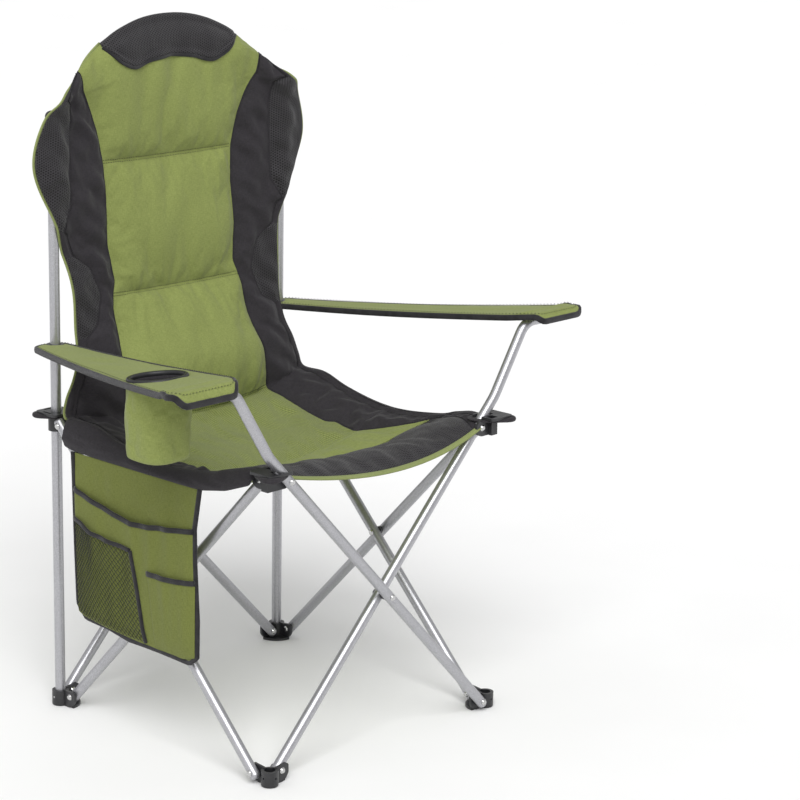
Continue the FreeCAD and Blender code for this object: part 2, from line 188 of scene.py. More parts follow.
def spacer_mesh(name, pitch=0.0034):
    """Black spacer mesh: rows of small round holes set between each other over its backing, the holes painted
    darker as the shade down in them.
    """
    made = Finish(name, Sheen_Weight=0.15, Sheen_Roughness=0.4, Specular_IOR_Level=0.35)
    parts = made.node("SeparateXYZ", {0: made.cloth()})
    turn = 2 * math.pi / pitch
    waves = []
    for slope in (0.0, 1.0, -1.0):
        rise = made.math("MULTIPLY", parts.outputs["Y"], slope * 0.866 * turn)
        run = made.math("MULTIPLY", parts.outputs["X"], turn * (0.5 if slope else 1.0))
        waves.append(made.math("COSINE", made.math("ADD", run, rise)))
    holes = made.math("ADD", made.math("ADD", waves[0], waves[1]), waves[2])
    solid = made.node("MapRange", {"Value": holes, "From Min": 1.6, "From Max": -0.4}).outputs[0]
    # painted shade: the holes darker than the mesh's face
    colour = made.ramp(solid, (0.0, linear(16, 15, 16)), (1.0, linear(50, 48, 51)))
    colour = made.tint(colour, made.speckle(made.place(), 0.05), 0.85, 1.1)
    rough = made.spread(solid, 0.9, 0.62)
    return made.done(Base_Color=colour, Roughness=rough, Normal=made.bump(solid, 0.0009, 0.8))


def webbing(name, dark, light):
    """A ribbed binding tape, its ribs across its length, with painted shade darker between the ribs."""
    made = Finish(name, Sheen_Weight=0.2, Sheen_Roughness=0.4, Specular_IOR_Level=0.3)
    parts = made.node("SeparateXYZ", {0: made.cloth()})
    ribs = made.math("SINE", made.math("MULTIPLY", parts.outputs["Y"], 2 * math.pi / 0.0016))
    ribs = made.math("MULTIPLY_ADD", ribs, 0.5, 0.5)
    worn = made.speckle(made.place(), 0.012, detail=4.0)
    # painted shade: the colour darker between the ribs, lighter on them
    colour = made.tint(made.ramp(worn, (0.3, dark), (0.75, light)), ribs, 0.8, 1.1)
    rough = made.spread(worn, 0.7, 0.88)
    return made.done(Base_Color=colour, Roughness=rough, Normal=made.bump(ribs, 0.0004, 0.7))


def thread(name, colour):
    """Sewing thread, twisted along its length, with painted shade in the twist's grooves."""
    made = Finish(name, Roughness=0.55, Specular_IOR_Level=0.4)
    twist = made.node("TexWave", {"Vector": made.place(), "Scale": 900.0, "Distortion": 1.0})
    # painted shade: the colour darker in the grooves of the twist
    shade = made.tint(colour, twist.outputs["Fac"], 0.8, 1.15)
    return made.done(Base_Color=shade, Normal=made.bump(twist.outputs["Fac"], 0.0001, 0.5))


def tube_paint(name):
    """Silver powder paint on steel tube: fine metal flake, slightly duller where hands and cloth rub."""
    made = Finish(name, Metallic=0.8, Specular_IOR_Level=0.5)
    place = made.place()
    flake = made.speckle(place, 0.0012, detail=2.0)
    rubbed = made.speckle(place, 0.05, detail=4.0, stretch=(1.0, 1.0, 0.35))
    colour = made.ramp(flake, (0.3, linear(158, 158, 162)), (0.7, linear(194, 194, 198)))
    colour = made.tint(colour, rubbed, 0.93, 1.05)
    rough = made.spread(rubbed, 0.28, 0.42)
    return made.done(Base_Color=colour, Roughness=rough, Normal=made.bump(flake, 0.00008, 0.35))


def moulded(name, shade, gloss=0.3, grain=0.0006):
    """Moulded plastic with a fine even grain, random lighter rubbed patches, and painted highlights on its
    sharp edges.
    """
    made = Finish(name, Specular_IOR_Level=0.5)
    place = made.place()
    skin = made.speckle(place, grain, detail=2.0)
    rubbed = made.speckle(place, 0.014, detail=5.0)
    # painted highlight: the sharp edges, found by their pointiness, made lighter
    edge = made.node("NewGeometry").outputs["Pointiness"]
    worn = made.node("MapRange", {"Value": edge, "From Min": 0.5, "From Max": 0.62}).outputs[0]
    colour = made.ramp(made.math("MULTIPLY_ADD", worn, 0.5, made.math("MULTIPLY", rubbed, 0.5)),
                       (0.2, shade), (0.9, tuple(min(1.0, part * 2.6 + 0.01) for part in shade[:3]) + (1.0,)))
    rough = made.spread(rubbed, gloss - 0.08, gloss + 0.14)
    return made.done(Base_Color=colour, Roughness=rough, Normal=made.bump(skin, 0.00006, 0.4))


def bright_steel(name):
    """Bright zinc-plated steel, lightly brushed and spotted."""
    made = Finish(name, Metallic=1.0)
    place = made.place()
    brushed = made.speckle(place, 0.0016, detail=3.0, stretch=(1.0, 1.0, 4.0))
    colour = made.ramp(brushed, (0.25, linear(170, 170, 172)), (0.75, linear(222, 222, 220)))
    rough = made.spread(made.speckle(place, 0.004), 0.16, 0.34)
    return made.done(Base_Color=colour, Roughness=rough, Normal=made.bump(brushed, 0.00005, 0.4))


GREEN_DARK, GREEN_LIGHT = linear(102, 113, 54), linear(152, 161, 96)
GREEN = woven("green_polyester", GREEN_DARK, GREEN_LIGHT)
RIBBED = woven("ribbed_green_polyester", GREEN_DARK, GREEN_LIGHT, ribs=0.0040)
# painted shade: the sling's green made darker for the pockets, as the shade below the seat
SHADED_POCKET_GREEN = woven("shaded_pocket_polyester", linear(82, 90, 36), linear(124, 131, 68))
LINING = woven("green_lining", linear(108, 119, 66), linear(150, 159, 104), pitch=0.0014)
CHARCOAL = woven("charcoal_polyester", linear(25, 23, 26), linear(60, 57, 61), sheen=0.1)
MESH = spacer_mesh("black_spacer_mesh")
NET = webbing("black_netting", linear(18, 18, 19), linear(40, 40, 42))
TAPE = webbing("charcoal_binding", linear(24, 23, 26), linear(48, 47, 50))
DARK_THREAD = thread("charcoal_thread", linear(30, 30, 32))
FRAME_FINISH = {
    "silver_tube": tube_paint("silver_tube_paint"),
    "black_plastic": moulded("black_moulding", linear(22, 22, 24)),
    "rivet_steel": bright_steel("rivet_steel_bright"),
    "nylon": moulded("dark_nylon", linear(34, 34, 36), gloss=0.42),
}


def finish_frame():
    """Gives every CAD node that stays shown its finish, by the slot that its record names."""
    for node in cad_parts.values():
        for slot in node.material_slots:
            kind = slot.material.name.split(".")[0]
            if kind in FRAME_FINISH:
                slot.material = FRAME_FINISH[kind]


# ---------------------------------------------------------------- mesh helpers

def mesh_piece(name, points, faces, materials, which=None, weave=None):
    """A mesh object from arrays, with smooth faces and its place on the flat cloth."""
    mesh = bpy.data.meshes.new(name)
    mesh.from_pydata([tuple(map(float, point)) for point in points], [], [tuple(map(int, f)) for f in faces])
    for material in materials:
        mesh.materials.append(material)
    if which is not None:
        mesh.polygons.foreach_set("material_index", np.asarray(which, np.int32))
    mesh.polygons.foreach_set("use_smooth", np.ones(len(mesh.polygons), bool))
    if weave is not None:
        flat = mesh.attributes.new("weave", "FLOAT_VECTOR", "POINT")
        padded = np.zeros((len(points), 3), np.float32)
        padded[:, :2] = np.asarray(weave)[:, :2]
        flat.data.foreach_set("vector", padded.ravel())
    mesh.update()
    return add_object(name, mesh)


def add_object(name, data):
    """An object with that data, in the scene."""
    made = bpy.data.objects.new(name, data)
    bpy.context.scene.collection.objects.link(made)
    return made


def unit(vectors):
    size = np.linalg.norm(vectors, axis=-1, keepdims=True)
    return vectors / np.maximum(size, 1e-12)


def limited(moves, cap):
    """The moves, none of them longer than the cap."""
    size = np.linalg.norm(moves, axis=-1, keepdims=True)
    return moves * np.minimum(1, cap / np.maximum(size, 1e-9))


def distances(path):
    """How far along the path each of its points is."""
    return np.concatenate([[0], np.cumsum(np.linalg.norm(np.diff(path, axis=0), axis=1))])


def turns(count):
    """Angles evenly round a circle."""
    return np.linspace(0, 2 * math.pi, count, endpoint=False)


def spaced(path, step, closed=False):
    """The path again, its points an even step apart."""
    path = np.asarray(path, float)
    if closed:
        path = np.vstack([path, path[:1]])
    along = distances(path)
    count = max(3, round(along[-1] / step) + 1)
    at = np.linspace(0, along[-1], count)
    made = np.stack([np.interp(at, along, path[:, axis]) for axis in range(path.shape[1])], 1)
    return made[:-1] if closed else made


def grid_faces(rows, columns, wrap=False):
    """Quads over a rows by columns grid of points, joined round at the last column if it wraps."""
    index = np.arange(rows * columns).reshape(rows, columns)
    beside = np.roll(index, -1, axis=1)
    if not wrap:
        index, beside = index[:, :-1], beside[:, :-1]
    return np.stack([index[:-1], beside[:-1], beside[1:], index[1:]], -1).reshape(-1, 4)


def lid(ring, around):
    """One face over that ring of points of a tube."""
    return [ring * around + k for k in range(around)]


def sweep(name, path, ups, profile, material, closed=False):
    """A closed band: a profile of (side, up) points carried along a path whose up directions are given."""
    path, ups = np.asarray(path, float), np.asarray(ups, float)
    if closed:
        ahead = np.roll(path, -1, 0) - np.roll(path, 1, 0)
    else:
        ahead = np.gradient(path, axis=0)
    ahead = unit(ahead)
    sides = unit(np.cross(ahead, ups))
    ups = np.cross(sides, ahead)
    profile = np.asarray(profile, float)
    rings = path[:, None] + sides[:, None] * profile[None, :, :1] + ups[:, None] * profile[None, :, 1:]
    count, around = rings.shape[:2]
    faces = grid_faces(count, around, wrap=True)
    if closed:
        last = np.arange(around) + (count - 1) * around
        first = np.arange(around)
        faces = np.vstack([faces, np.stack([last, np.roll(last, -1), np.roll(first, -1), first], 1)])
    faces = [list(face) for face in faces]
    if not closed:
        faces += [lid(0, around)[::-1], lid(count - 1, around)]
    weave = np.stack([np.tile(distances(profile), count), np.repeat(distances(path), around)], 1)
    return mesh_piece(name, rings.reshape(-1, 3), faces, [material], weave=weave)


def oval(width, height, points=10, power=2.5):
    """A rounded flat profile, width by height."""
    turn = turns(points)
    c, s = np.cos(turn), np.sin(turn)
    return np.stack([width / 2 * np.sign(c) * np.abs(c) ** (2 / power),
                     height / 2 * np.sign(s) * np.abs(s) ** (2 / power)], 1)


STITCH, STITCH_GAP, THREAD_R = 0.0042, 0.0016, 0.00045
STITCH_LIFT = 0.0007  # the height of a seam's stitches over its cloth


def stitches(name, lines, material):
    """Rows of stitches. Each line is (path, ups), and each stitch a short spindle that dips at its ends."""
    points, faces, ring = [], [], 4
    for path, ups in lines:
        both = spaced(np.hstack([path, ups]), (STITCH + STITCH_GAP) / 2)
        for start in range(0, len(both) - 2, 2):
            head, tail = both[start, :3], both[start + 1, :3] * 0.45 + both[start + 2, :3] * 0.55
            up = unit(both[start + 1, 3:])
            ahead = unit(tail - head)
            side = np.cross(ahead, up)
            base = len(points)
            middle = (head + tail) / 2 + up * THREAD_R
            points += [head - up * THREAD_R, tail - up * THREAD_R]
            for k in range(ring):
                turn = 2 * math.pi * k / ring
                points.append(middle + (side * math.cos(turn) + up * math.sin(turn)) * THREAD_R * 1.2)
            for k in range(ring):
                a, b = base + 2 + k, base + 2 + (k + 1) % ring
                faces += [[base, a, b], [base + 1, b, a]]
    return mesh_piece(name, np.array(points), faces, [material])


def ripple(points, size, seed=0.0, stretch=(1, 1, 1)):
    """Smooth noise, about -1 to 1, at each point; a low stretch draws it out along that axis."""
    shift = Vector((seed * 7.3, seed * 3.1, seed * 5.7))
    flat = (points * np.array(stretch)).reshape(-1, 3)
    made = np.array([noise.noise(Vector(point) / size + shift) for point in flat]) * 1.6
    return made.reshape(np.shape(points)[:-1])


def same(direction, count):
    """That direction, count times, for a sweep's or a seam's up directions."""
    return np.tile(np.array(direction, float), (count, 1))


def circle(x, y, radius, turn):
    """Level points at those angles round a centre."""
    return np.stack([x + radius * np.cos(turn), y + radius * np.sin(turn)], 1)


def shell(front, rear):
    """Two grids of points joined round their edges: the points, the faces, and the edge's grid places."""
    rows, columns = front.shape[:2]
    count = rows * columns
    faces = grid_faces(rows, columns)
    index = np.arange(count).reshape(rows, columns)
    loop = np.concatenate([index[0, :-1], index[:-1, -1], index[-1, :0:-1], index[:0:-1, 0]])
    ahead = np.roll(loop, -1)
    rim = np.stack([ahead, loop, loop + count, ahead + count], 1)
    points = np.concatenate([front.reshape(-1, 3), rear.reshape(-1, 3)])
    return points, np.vstack([faces, faces[:, ::-1] + count, rim]), loop


def add_subdivision(piece, levels=1):
    made = piece.modifiers.new("smooth", "SUBSURF")
    made.levels = levels
    made.render_levels = levels


def thicken(piece, thickness, levels=0):
    made = piece.modifiers.new("cloth", "SOLIDIFY")
    made.thickness = thickness
    made.offset = 0
    if levels:
        add_subdivision(piece, levels)


# ---------------------------------------------------------------- the sling's shape

# From the front hem up over the seat and the back: centre (y, z), then edge (x, y, z).
SLING_ROWS = {
    "hem": ((-0.238, 0.432), (0.226, -0.228, 0.466)),
    "crest": ((-0.205, 0.439), (0.238, -0.200, 0.470)),
    "front": ((-0.155, 0.424), (0.246, -0.156, 0.462)),
    "band": ((-0.088, 0.402), (0.247, -0.118, 0.4515)),  # where the front's mesh meets the green
    "crease": ((0.002, 0.388), (0.247, -0.010, 0.442)),
    "rear": ((0.085, 0.397), (0.247, 0.085, 0.457)),
    "dip": ((0.140, 0.419), (0.249, 0.145, 0.4735)),
    "seam_3": ((0.163, 0.446), (0.2506, 0.190, 0.474)),
    "low": ((0.163, 0.480), (0.245, 0.196, 0.495)),
    "lumbar": ((0.169, 0.520), (0.231, 0.195, 0.525)),
    "waist": ((0.195, 0.560), (0.216, 0.201, 0.560)),
    "arm": ((0.214, 0.600), (0.2125, 0.209, 0.600)),
    "seam_2": ((0.2275, 0.637), (0.2120, 0.2115, 0.647)),
    "base": ((0.239, 0.745), (0.2325, 0.2275, 0.7436)),
    "seam_1": ((0.246, 0.841), (0.277, 0.2235, 0.853)),  # the widest place
    "upper": ((0.248, 0.910), (0.262, 0.221, 0.915)),
    "notch": ((0.247, 0.985), (0.236, 0.216, 0.945)),  # beside the head
    "top": ((0.245, 1.057), (0.190, 0.234, 0.982)),
}
LEAN = 0.1  # the seat hangs lowest a little to the right of its middle
POLE_RIDGE, RIDGE_REACH = 0.010, 0.026  # how far the wings bulge forward over their poles, and how wide
LOWER_NET, UPPER_NET = (0.574, 0.702), (0.746, 0.982)  # distances along the middle of the sling
# (distance along, half width) of the green panel, and of the inner edge of the wings' mesh.
GREEN_EDGE = [(0.0, 0.195), (0.07, 0.224), (0.145, 0.232), (0.160, 0.228), (0.248, 0.173), (0.292, 0.177),
              (0.306, 0.168), (0.36, 0.165), (0.405, 0.160), (0.425, 0.149), (0.50, 0.146), (0.547, 0.138),
              (0.57, 0.135), (0.613, 0.135), (0.634, 0.130), (0.653, 0.124), (0.694, 0.129), (0.714, 0.132),
              (0.782, 0.1285), (0.838, 0.1325), (0.886, 0.145), (0.968, 0.178), (1.052, 0.188)]
WING_EDGE = [(0.576, 0.198), (0.593, 0.173), (0.633, 0.158), (0.678, 0.175), (0.702, 0.206), (0.746, 0.231),
             (0.778, 0.210), (0.838, 0.209), (0.893, 0.206), (0.948, 0.211), (0.982, 0.231)]
WING_COLUMNS, SIDE_COLUMNS, GREEN_COLUMNS = 9, 13, 52
ROW_STEP = 0.005
PIPE_EDGE = 0.004  # the narrowest that a strip of columns gets
WING_BORDER = 0.012  # the width of the wings' outer strip where it has no mesh


def slopes(at, values):
    step = np.diff(at)[:, None]
    rate = np.diff(values, axis=0) / step
    inner = (rate[:-1] * step[1:] + rate[1:] * step[:-1]) / (step[1:] + step[:-1])
    return np.vstack([rate[:1], inner, rate[-1:]])


def through(at, values, where):
    """A smooth curve through values at those distances, read at other distances."""
    at, values, where = np.asarray(at, float), np.asarray(values, float), np.asarray(where, float)
    tangent = slopes(at, values)
    i = np.clip(np.searchsorted(at, where, side="right") - 1, 0, len(at) - 2)
    gap = (at[i + 1] - at[i])[:, None]
    u = ((where - at[i]) / (at[i + 1] - at[i]))[:, None]
    return (values[i] * (1 + 2 * u) * (1 - u) ** 2 + values[i + 1] * u * u * (3 - 2 * u)
            + tangent[i] * gap * u * (1 - u) ** 2 + tangent[i + 1] * gap * u * u * (u - 1))


ROW_CENTRE = np.array([row[0] for row in SLING_ROWS.values()])
ROW_EDGE = np.array([row[1] for row in SLING_ROWS.values()])
ROW_T = distances(ROW_CENTRE)
ALONG = dict(zip(SLING_ROWS, ROW_T))
TOP_T = ALONG["top"]


def sling_point(s, t):
    """The sling's front face: s from -1 at the left edge to 1 at the right, t along its middle."""
    shape = np.shape(s)
    s, t = np.ravel(s), np.ravel(np.broadcast_to(t, shape))
    rows = through(ROW_T, np.hstack([ROW_CENTRE, ROW_EDGE]), t)
    lean = LEAN * (1 - s * s) * np.clip(1 - t / ALONG["seam_3"], 0, 1)
    bow = np.abs(s - lean) ** (2 + 0.2 * t / TOP_T)
    y = rows[:, 0] + (rows[:, 3] - rows[:, 0]) * bow
    pole = np.exp(-(((np.abs(rows[:, 2] * s) - HALF) / RIDGE_REACH) ** 2))
    y = y - POLE_RIDGE * (pole * np.clip((t - ALONG["base"]) / 0.04 + 0.7, 0, 1))
    z = rows[:, 1] + (rows[:, 4] - rows[:, 1]) * bow
    return np.stack([rows[:, 2] * s, y, z], 1).reshape(*shape, 3)


def half_width(t):
    return through(ROW_T, ROW_EDGE, np.ravel(t))[:, 0]


def green_half(t):
    at, width = np.array(GREEN_EDGE).T
    return np.minimum(np.interp(t, at, width), half_width(t) - 2 * PIPE_EDGE)


def beside_net(t):
    return ((t > LOWER_NET[0]) & (t < LOWER_NET[1])) | ((t > UPPER_NET[0]) & (t < UPPER_NET[1]))


def wing_half(t):
    at, width = np.array(WING_EDGE).T
    edge = half_width(t)
    inner = np.where(beside_net(t), np.interp(t, at, width), edge - WING_BORDER)
    inner = np.minimum(inner, edge - PIPE_EDGE)
    return np.maximum(inner, green_half(t) + PIPE_EDGE)


def row_distances():
    """Rows about a step apart, with one on each seam. Returns the rows and each seam's row."""
    marks = [0.0] + [ALONG[name] for name in ("band", "crease", "seam_3", "seam_2", "seam_1", "top")]
    rows, seams = [0.0], []
    for low, high in zip(marks, marks[1:]):
        count = round((high - low) / ROW_STEP)
        rows += list(low + (high - low) * np.arange(1, count + 1) / count)
        seams.append(len(rows) - 1)
    return np.array(rows), seams


def sling_grid():
    """(s, t) of every point of the sling's grid. Its columns follow the seams between the colours."""
    rows, seams = row_distances()
    edge, green, wing = half_width(rows), green_half(rows), wing_half(rows)
    lines = [(-edge, -wing, WING_COLUMNS), (-wing, -green, SIDE_COLUMNS), (-green, green, GREEN_COLUMNS),
             (green, wing, SIDE_COLUMNS), (wing, edge, WING_COLUMNS)]
    x = [(-edge)[:, None]]
    for low, high, count in lines:
        share = np.arange(1, count + 1) / count
        x.append(low[:, None] + (high - low)[:, None] * share)
    x = np.hstack(x)
    s = x / edge[:, None]
    return s, rows[:, None] + 0 * s, seams


def soften(values, times):
    """Each point's value averaged with its neighbours' on the grid, that many times."""
    for _ in range(times):
        padded = np.pad(values, 1, mode="edge")
        values = (padded[:-2, 1:-1] + padded[2:, 1:-1] + padded[1:-1, :-2] + padded[1:-1, 2:]
                  + 4 * padded[1:-1, 1:-1]) / 8
    return values


def grid_normals(points):
    """Each grid point's direction out of the cloth's front."""
    return unit(np.cross(np.gradient(points, axis=1), np.gradient(points, axis=0)))


# ---------------------------------------------------------------- the sling's cloth

SIM_FRAMES = 18
OUT_CAP, IN_CAP, SIDE_CAP = 0.012, 0.005, 0.004  # how far cloth may move: outwards, inwards, along itself


def settle(points, faces, held, push, slack):
    """The points after a short cloth simulation: held points stay, and slack cloth is pushed from behind."""
    trial = mesh_piece("cloth_trial", points, faces, [])
    pins = trial.vertex_groups.new(name="held")
    pins.add([int(i) for i in np.flatnonzero(held)], 1.0, "REPLACE")
    cloth = trial.modifiers.new("cloth", "CLOTH")
    settings = cloth.settings
    settings.quality = 5
    settings.mass = 0.02
    settings.tension_stiffness = 8
    settings.compression_stiffness = 8
    settings.shear_stiffness = 3
    settings.bending_stiffness = 0.05
    settings.air_damping = 2
    settings.vertex_group_mass = "held"
    settings.use_pressure = True
    settings.uniform_pressure_force = push
    settings.shrink_min = -slack
    settings.effector_weights.gravity = 0
    cloth.collision_settings.use_collision = False
    cloth.collision_settings.use_self_collision = False
    scene = bpy.context.scene
    for step in range(1, SIM_FRAMES + 1):
        scene.frame_set(step)
    settled = trial.evaluated_get(bpy.context.evaluated_depsgraph_get()).to_mesh()
    moved = np.zeros(len(points) * 3)
    settled.vertices.foreach_get("co", moved)
    bpy.data.objects.remove(trial)
    scene.frame_set(1)
    return moved.reshape(-1, 3)


GREEN_FACE, CHARCOAL_FACE, MESH_FACE, RIBBED_FACE, LINING_FACE = range(5)
SLING_FINISHES = [GREEN, CHARCOAL, MESH, RIBBED, LINING]
QUILT = {"back": 0.013, "seat": 0.007, "side": 0.008, "net": 0.005}  # how far each panel's padding crowns
EDGE_THICK, MIDDLE_THICK = 0.0032, 0.010
PUSH, SLACK = 0.9, 0.022
NARROW = 0.014  # an outer strip narrower than this stays still in the simulation
QUILT_REACH, RIM_REACH = 0.016, 0.006  # how far from a seam, and from the edge, padding takes to rise
FINE, SLANTING, BROAD = 0.011, 0.022, 0.034  # the sizes of three sorts of fold


def column_lines():
    """The grid columns that seams run along, from the left edge to the right one."""
    counts = [WING_COLUMNS, SIDE_COLUMNS, GREEN_COLUMNS, SIDE_COLUMNS, WING_COLUMNS]
    return [0] + [int(n) for n in np.cumsum(counts)]


def seam_distances(s, t, seams):
    """Each grid point's distance from a lengthwise seam, from a crosswise one, and from the sling's edge."""
    edge = half_width(t.mean(axis=1))[:, None]
    x = s * edge
    lines = x[:, column_lines()]
    beside = np.abs(x[:, :, None] - lines[:, None, :]).min(axis=2)
    seam_rows = t[[0] + seams, :]
    across = np.abs(t[:, None, :] - seam_rows[None]).min(axis=1)
    rim = np.minimum(edge - np.abs(x), np.minimum(t - t[:1], t[-1:] - t))
    return beside, across, np.maximum(rim, 0)


def crown(distance, reach):
    return 1 - np.exp(-distance / reach)


def padding(s, t, seams, points):
    """How far the padding lifts each point of the front before it settles, with its folds and puckers."""
    lines = column_lines()
    beside, across, rim = seam_distances(s, t, seams)
    column = np.arange(s.shape[1])[None, :] + 0 * t
    green = (column > lines[2]) & (column < lines[3])
    net = (column < lines[1]) | (column > lines[4])
    back = t > ALONG["seam_3"]
    middle = np.where(back, QUILT["back"], QUILT["seat"])
    height = np.where(green, middle, np.where(net, QUILT["net"], QUILT["side"]))
    lift = height * crown(beside, QUILT_REACH) * np.where(green, crown(across, QUILT_REACH), 1)
    fine = ripple(points, FINE, 1.0, stretch=(1, 0.35, 0.35))
    turned = points.reshape(-1, 3) @ Euler((0, 0.7, 0)).to_matrix()
    slant = ripple(turned, SLANTING, 2.0, stretch=(0.4, 1, 1)).reshape(t.shape)
    broad = ripple(points, BROAD, 6.0, stretch=(1, 0.4, 0.4))
    puckers = np.where(green, fine * np.exp(-across / 0.028) * 0.0036 + broad * 0.0034,
                       slant * 0.0062 + fine * np.exp(-beside / 0.02) * 0.0016)
    return (lift + puckers * crown(np.minimum(beside, across + ~green), 0.008)) * crown(rim, RIM_REACH)


def beside_seam(seam, neighbour, out, shift):
    """(path, ups) of a line of stitches on the front, that share of the way to the neighbouring line."""
    path = seam * (1 - abs(shift)) + neighbour * abs(shift)
    return path + out * STITCH_LIFT, out


class Sling:
    """The seat and back as grids of points, front and rear, settled, and ways to cut pieces from them."""

    def __init__(self):
        self.s, self.t, self.seams = sling_grid()
        self.weave = np.stack([self.s * half_width(self.t.mean(axis=1))[:, None], self.t], -1)
        rest = sling_point(self.s, self.t)
        out = grid_normals(rest)
        lift = padding(self.s, self.t, self.seams, rest)
        front = rest + out * lift[..., None]
        front = self.settled(front, out)
        rim = seam_distances(self.s, self.t, self.seams)[2]
        thick = EDGE_THICK + (MIDDLE_THICK - EDGE_THICK) * crown(rim, 0.03)
        thick = thick + 0.0012 * ripple(rest, 0.07, 3.0, stretch=(1, 1, 0.6)) * crown(rim, 0.02)
        self.front, self.out = front, out
        self.rear = rest - out * thick[..., None]

    def settled(self, front, out):
        """The front after the cloth simulation, kept within its caps."""
        rows, columns = self.s.shape
        held = np.zeros((rows, columns), bool)
        held[[0, *self.seams], :] = True
        lines = column_lines()
        held[self.seams[1], :lines[2]] = held[self.seams[1], lines[3]:] = False
        held[:, lines] = True
        narrow = np.ptp(self.weave[:, :lines[1], 0], axis=1) < NARROW
        held[narrow, :lines[1]] = held[narrow, lines[4]:] = True
        moved = settle(front.reshape(-1, 3), grid_faces(rows, columns), held.ravel(), PUSH, SLACK)
        shift = moved.reshape(front.shape) - front
        along = (shift * out).sum(-1)
        aside = limited(shift - along[..., None] * out, SIDE_CAP)
        along = np.where(along > 0, OUT_CAP * np.tanh(along / OUT_CAP), IN_CAP * np.tanh(along / IN_CAP))
        return front + aside + out * along[..., None]

    def face_finish(self, row, column):
        """Which finish the front face above that row and right of that column has."""
        lines = column_lines()
        t = (self.t[row, column] + self.t[row + 1, column]) / 2
        if lines[2] <= column < lines[3]:
            if row < self.seams[0]:
                return MESH_FACE
            return RIBBED_FACE if self.seams[1] <= row < self.seams[2] else GREEN_FACE
        if beside_net(t) and (column < lines[1] or column >= lines[4]):
            return MESH_FACE
        return CHARCOAL_FACE

    def piece(self, name, low, high):
        """Rows low to high as one padded piece: front, lining and the rim between them."""
        front, rear = self.front[low:high + 1], self.rear[low:high + 1]
        rows, columns = front.shape[:2]
        points, faces, loop = shell(front, rear)
        across = range(columns - 1)
        which = [self.face_finish(low + row, column) for row in range(rows - 1) for column in across]
        which += [LINING_FACE] * len(which)
        which += [self.face_finish(low + min(int(k) // columns, rows - 2), min(int(k) % columns, columns - 2))
                  for k in loop]
        weave = np.tile(self.weave[low:high + 1].reshape(-1, 2), (2, 1))
        piece = mesh_piece(name, points, faces, SLING_FINISHES, which, weave)
        add_subdivision(piece)
        return piece

    def row_line(self, row, first, last, shift):
        """(path, ups) along a row's seam between two columns, shift rows up from it."""
        other = row + (1 if shift > 0 else -1)
        run = slice(first, last + 1)
        return beside_seam(self.front[row, run], self.front[other, run], self.out[row, run], shift)

    def column_line(self, column, low, high, shift):
        other = column + (1 if shift > 0 else -1)
        run = slice(low, high + 1)
        return beside_seam(self.front[run, column], self.front[run, other], self.out[run, column], shift)


def crumple(piece, anchor=(-HALF, 0, 0), axis=(1, 0, 0), keep=FOLD_KEEP):
    """Gives the piece a mesh of its own."""
    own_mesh(piece)


def place_soft(piece, body, slot, **squash):
    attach(piece, body)
    crumple(piece, **squash)
    return piece


# ---------------------------------------------------------------- seat and back

def border(sling, low, high):
    """The middle of the sling's outer edge from left to right, round row high or, with low 0, round row 0."""
    middle = (sling.front + sling.rear) / 2
    if low == 0:
        runs = [(slice(high, low, -1), 0), (low, slice(None)), (slice(low + 1, high + 1), -1)]
    else:
        runs = [(slice(low, high), 0), (high, slice(None)), (slice(high - 1, low - 1, -1), -1)]
    path = np.vstack([middle[run] for run in runs])
    out = np.vstack([sling.out[run] for run in runs])
    return path, out


HEM_END = 0.132  # the back's hem stops beside the head's patch


def outward(path, out):
    """Directions in the cloth, away from its middle, along an edge."""
    ahead = unit(np.gradient(path, axis=0))
    side = unit(np.cross(ahead, out))
    middle = path.mean(axis=0) * (0.0, 1.0, 1.0)
    flip = np.sign(((path - middle) * side).sum(axis=1).mean())
    return side * flip


def hem(name, path, out, width, deep, beyond, behind):
    """The lining's folded edge, which shows beyond the front cloth."""
    path = path + outward(path, out) * beyond - out * behind
    return sweep(name, path, out, oval(width, deep), LINING)


# The lower seam of the seat's padded side, as (y, z).
WALL_FOOT = [(-0.215, 0.452), (-0.165, 0.4335), (-0.113, 0.4235), (0.120, 0.4245), (0.172, 0.4265),
             (0.190, 0.430)]
WALL_X, WALL_BULGE, WALL_THICK = 0.259, 0.008, 0.007


def side_wall(name, sling, low, high, column):
    """The padded side of the seat: from its top edge it bulges out and down to its lower seam."""
    sign = 1 if column else -1
    top = sling.front[low:high + 1, column] + np.array([sign * 0.0008, 0.0, -0.0004])
    foot_y = np.clip(top[:, 1], WALL_FOOT[0][0], WALL_FOOT[-1][0])
    at, heights = np.array(WALL_FOOT).T
    foot = np.stack([np.full(len(top), sign * WALL_X), foot_y, np.interp(foot_y, at, heights)], 1)
    foot[:, 2] = np.minimum(foot[:, 2], top[:, 2] - 0.012)
    share = np.linspace(0, 1, 13)[None, :, None]
    front = top[:, None] * (1 - share) + foot[:, None] * share
    fold = ripple(front, 0.014, 4.0, stretch=(1, 0.35, 1.6))
    swell = np.sin(np.pi * share[..., 0]) ** 0.8
    front[..., 0] += sign * swell * (WALL_BULGE + 0.0022 * fold)
    back = front - np.array([sign * WALL_THICK, 0.0, 0.0])
    rings = np.concatenate([front, back[:, ::-1]], axis=1)
    if sign > 0:
        rings = rings[:, ::-1]
    count, around = rings.shape[:2]
    faces = [list(face) for face in grid_faces(count, around, wrap=True)]
    faces += [lid(0, around)[::-1], lid(count - 1, around)]
    weave = np.stack([np.tile(distances(rings[0]), count), np.repeat(top[:, 1], around)], 1)
    made = mesh_piece(name, rings.reshape(-1, 3), faces, [CHARCOAL], weave=weave)
    add_subdivision(made)
    return made


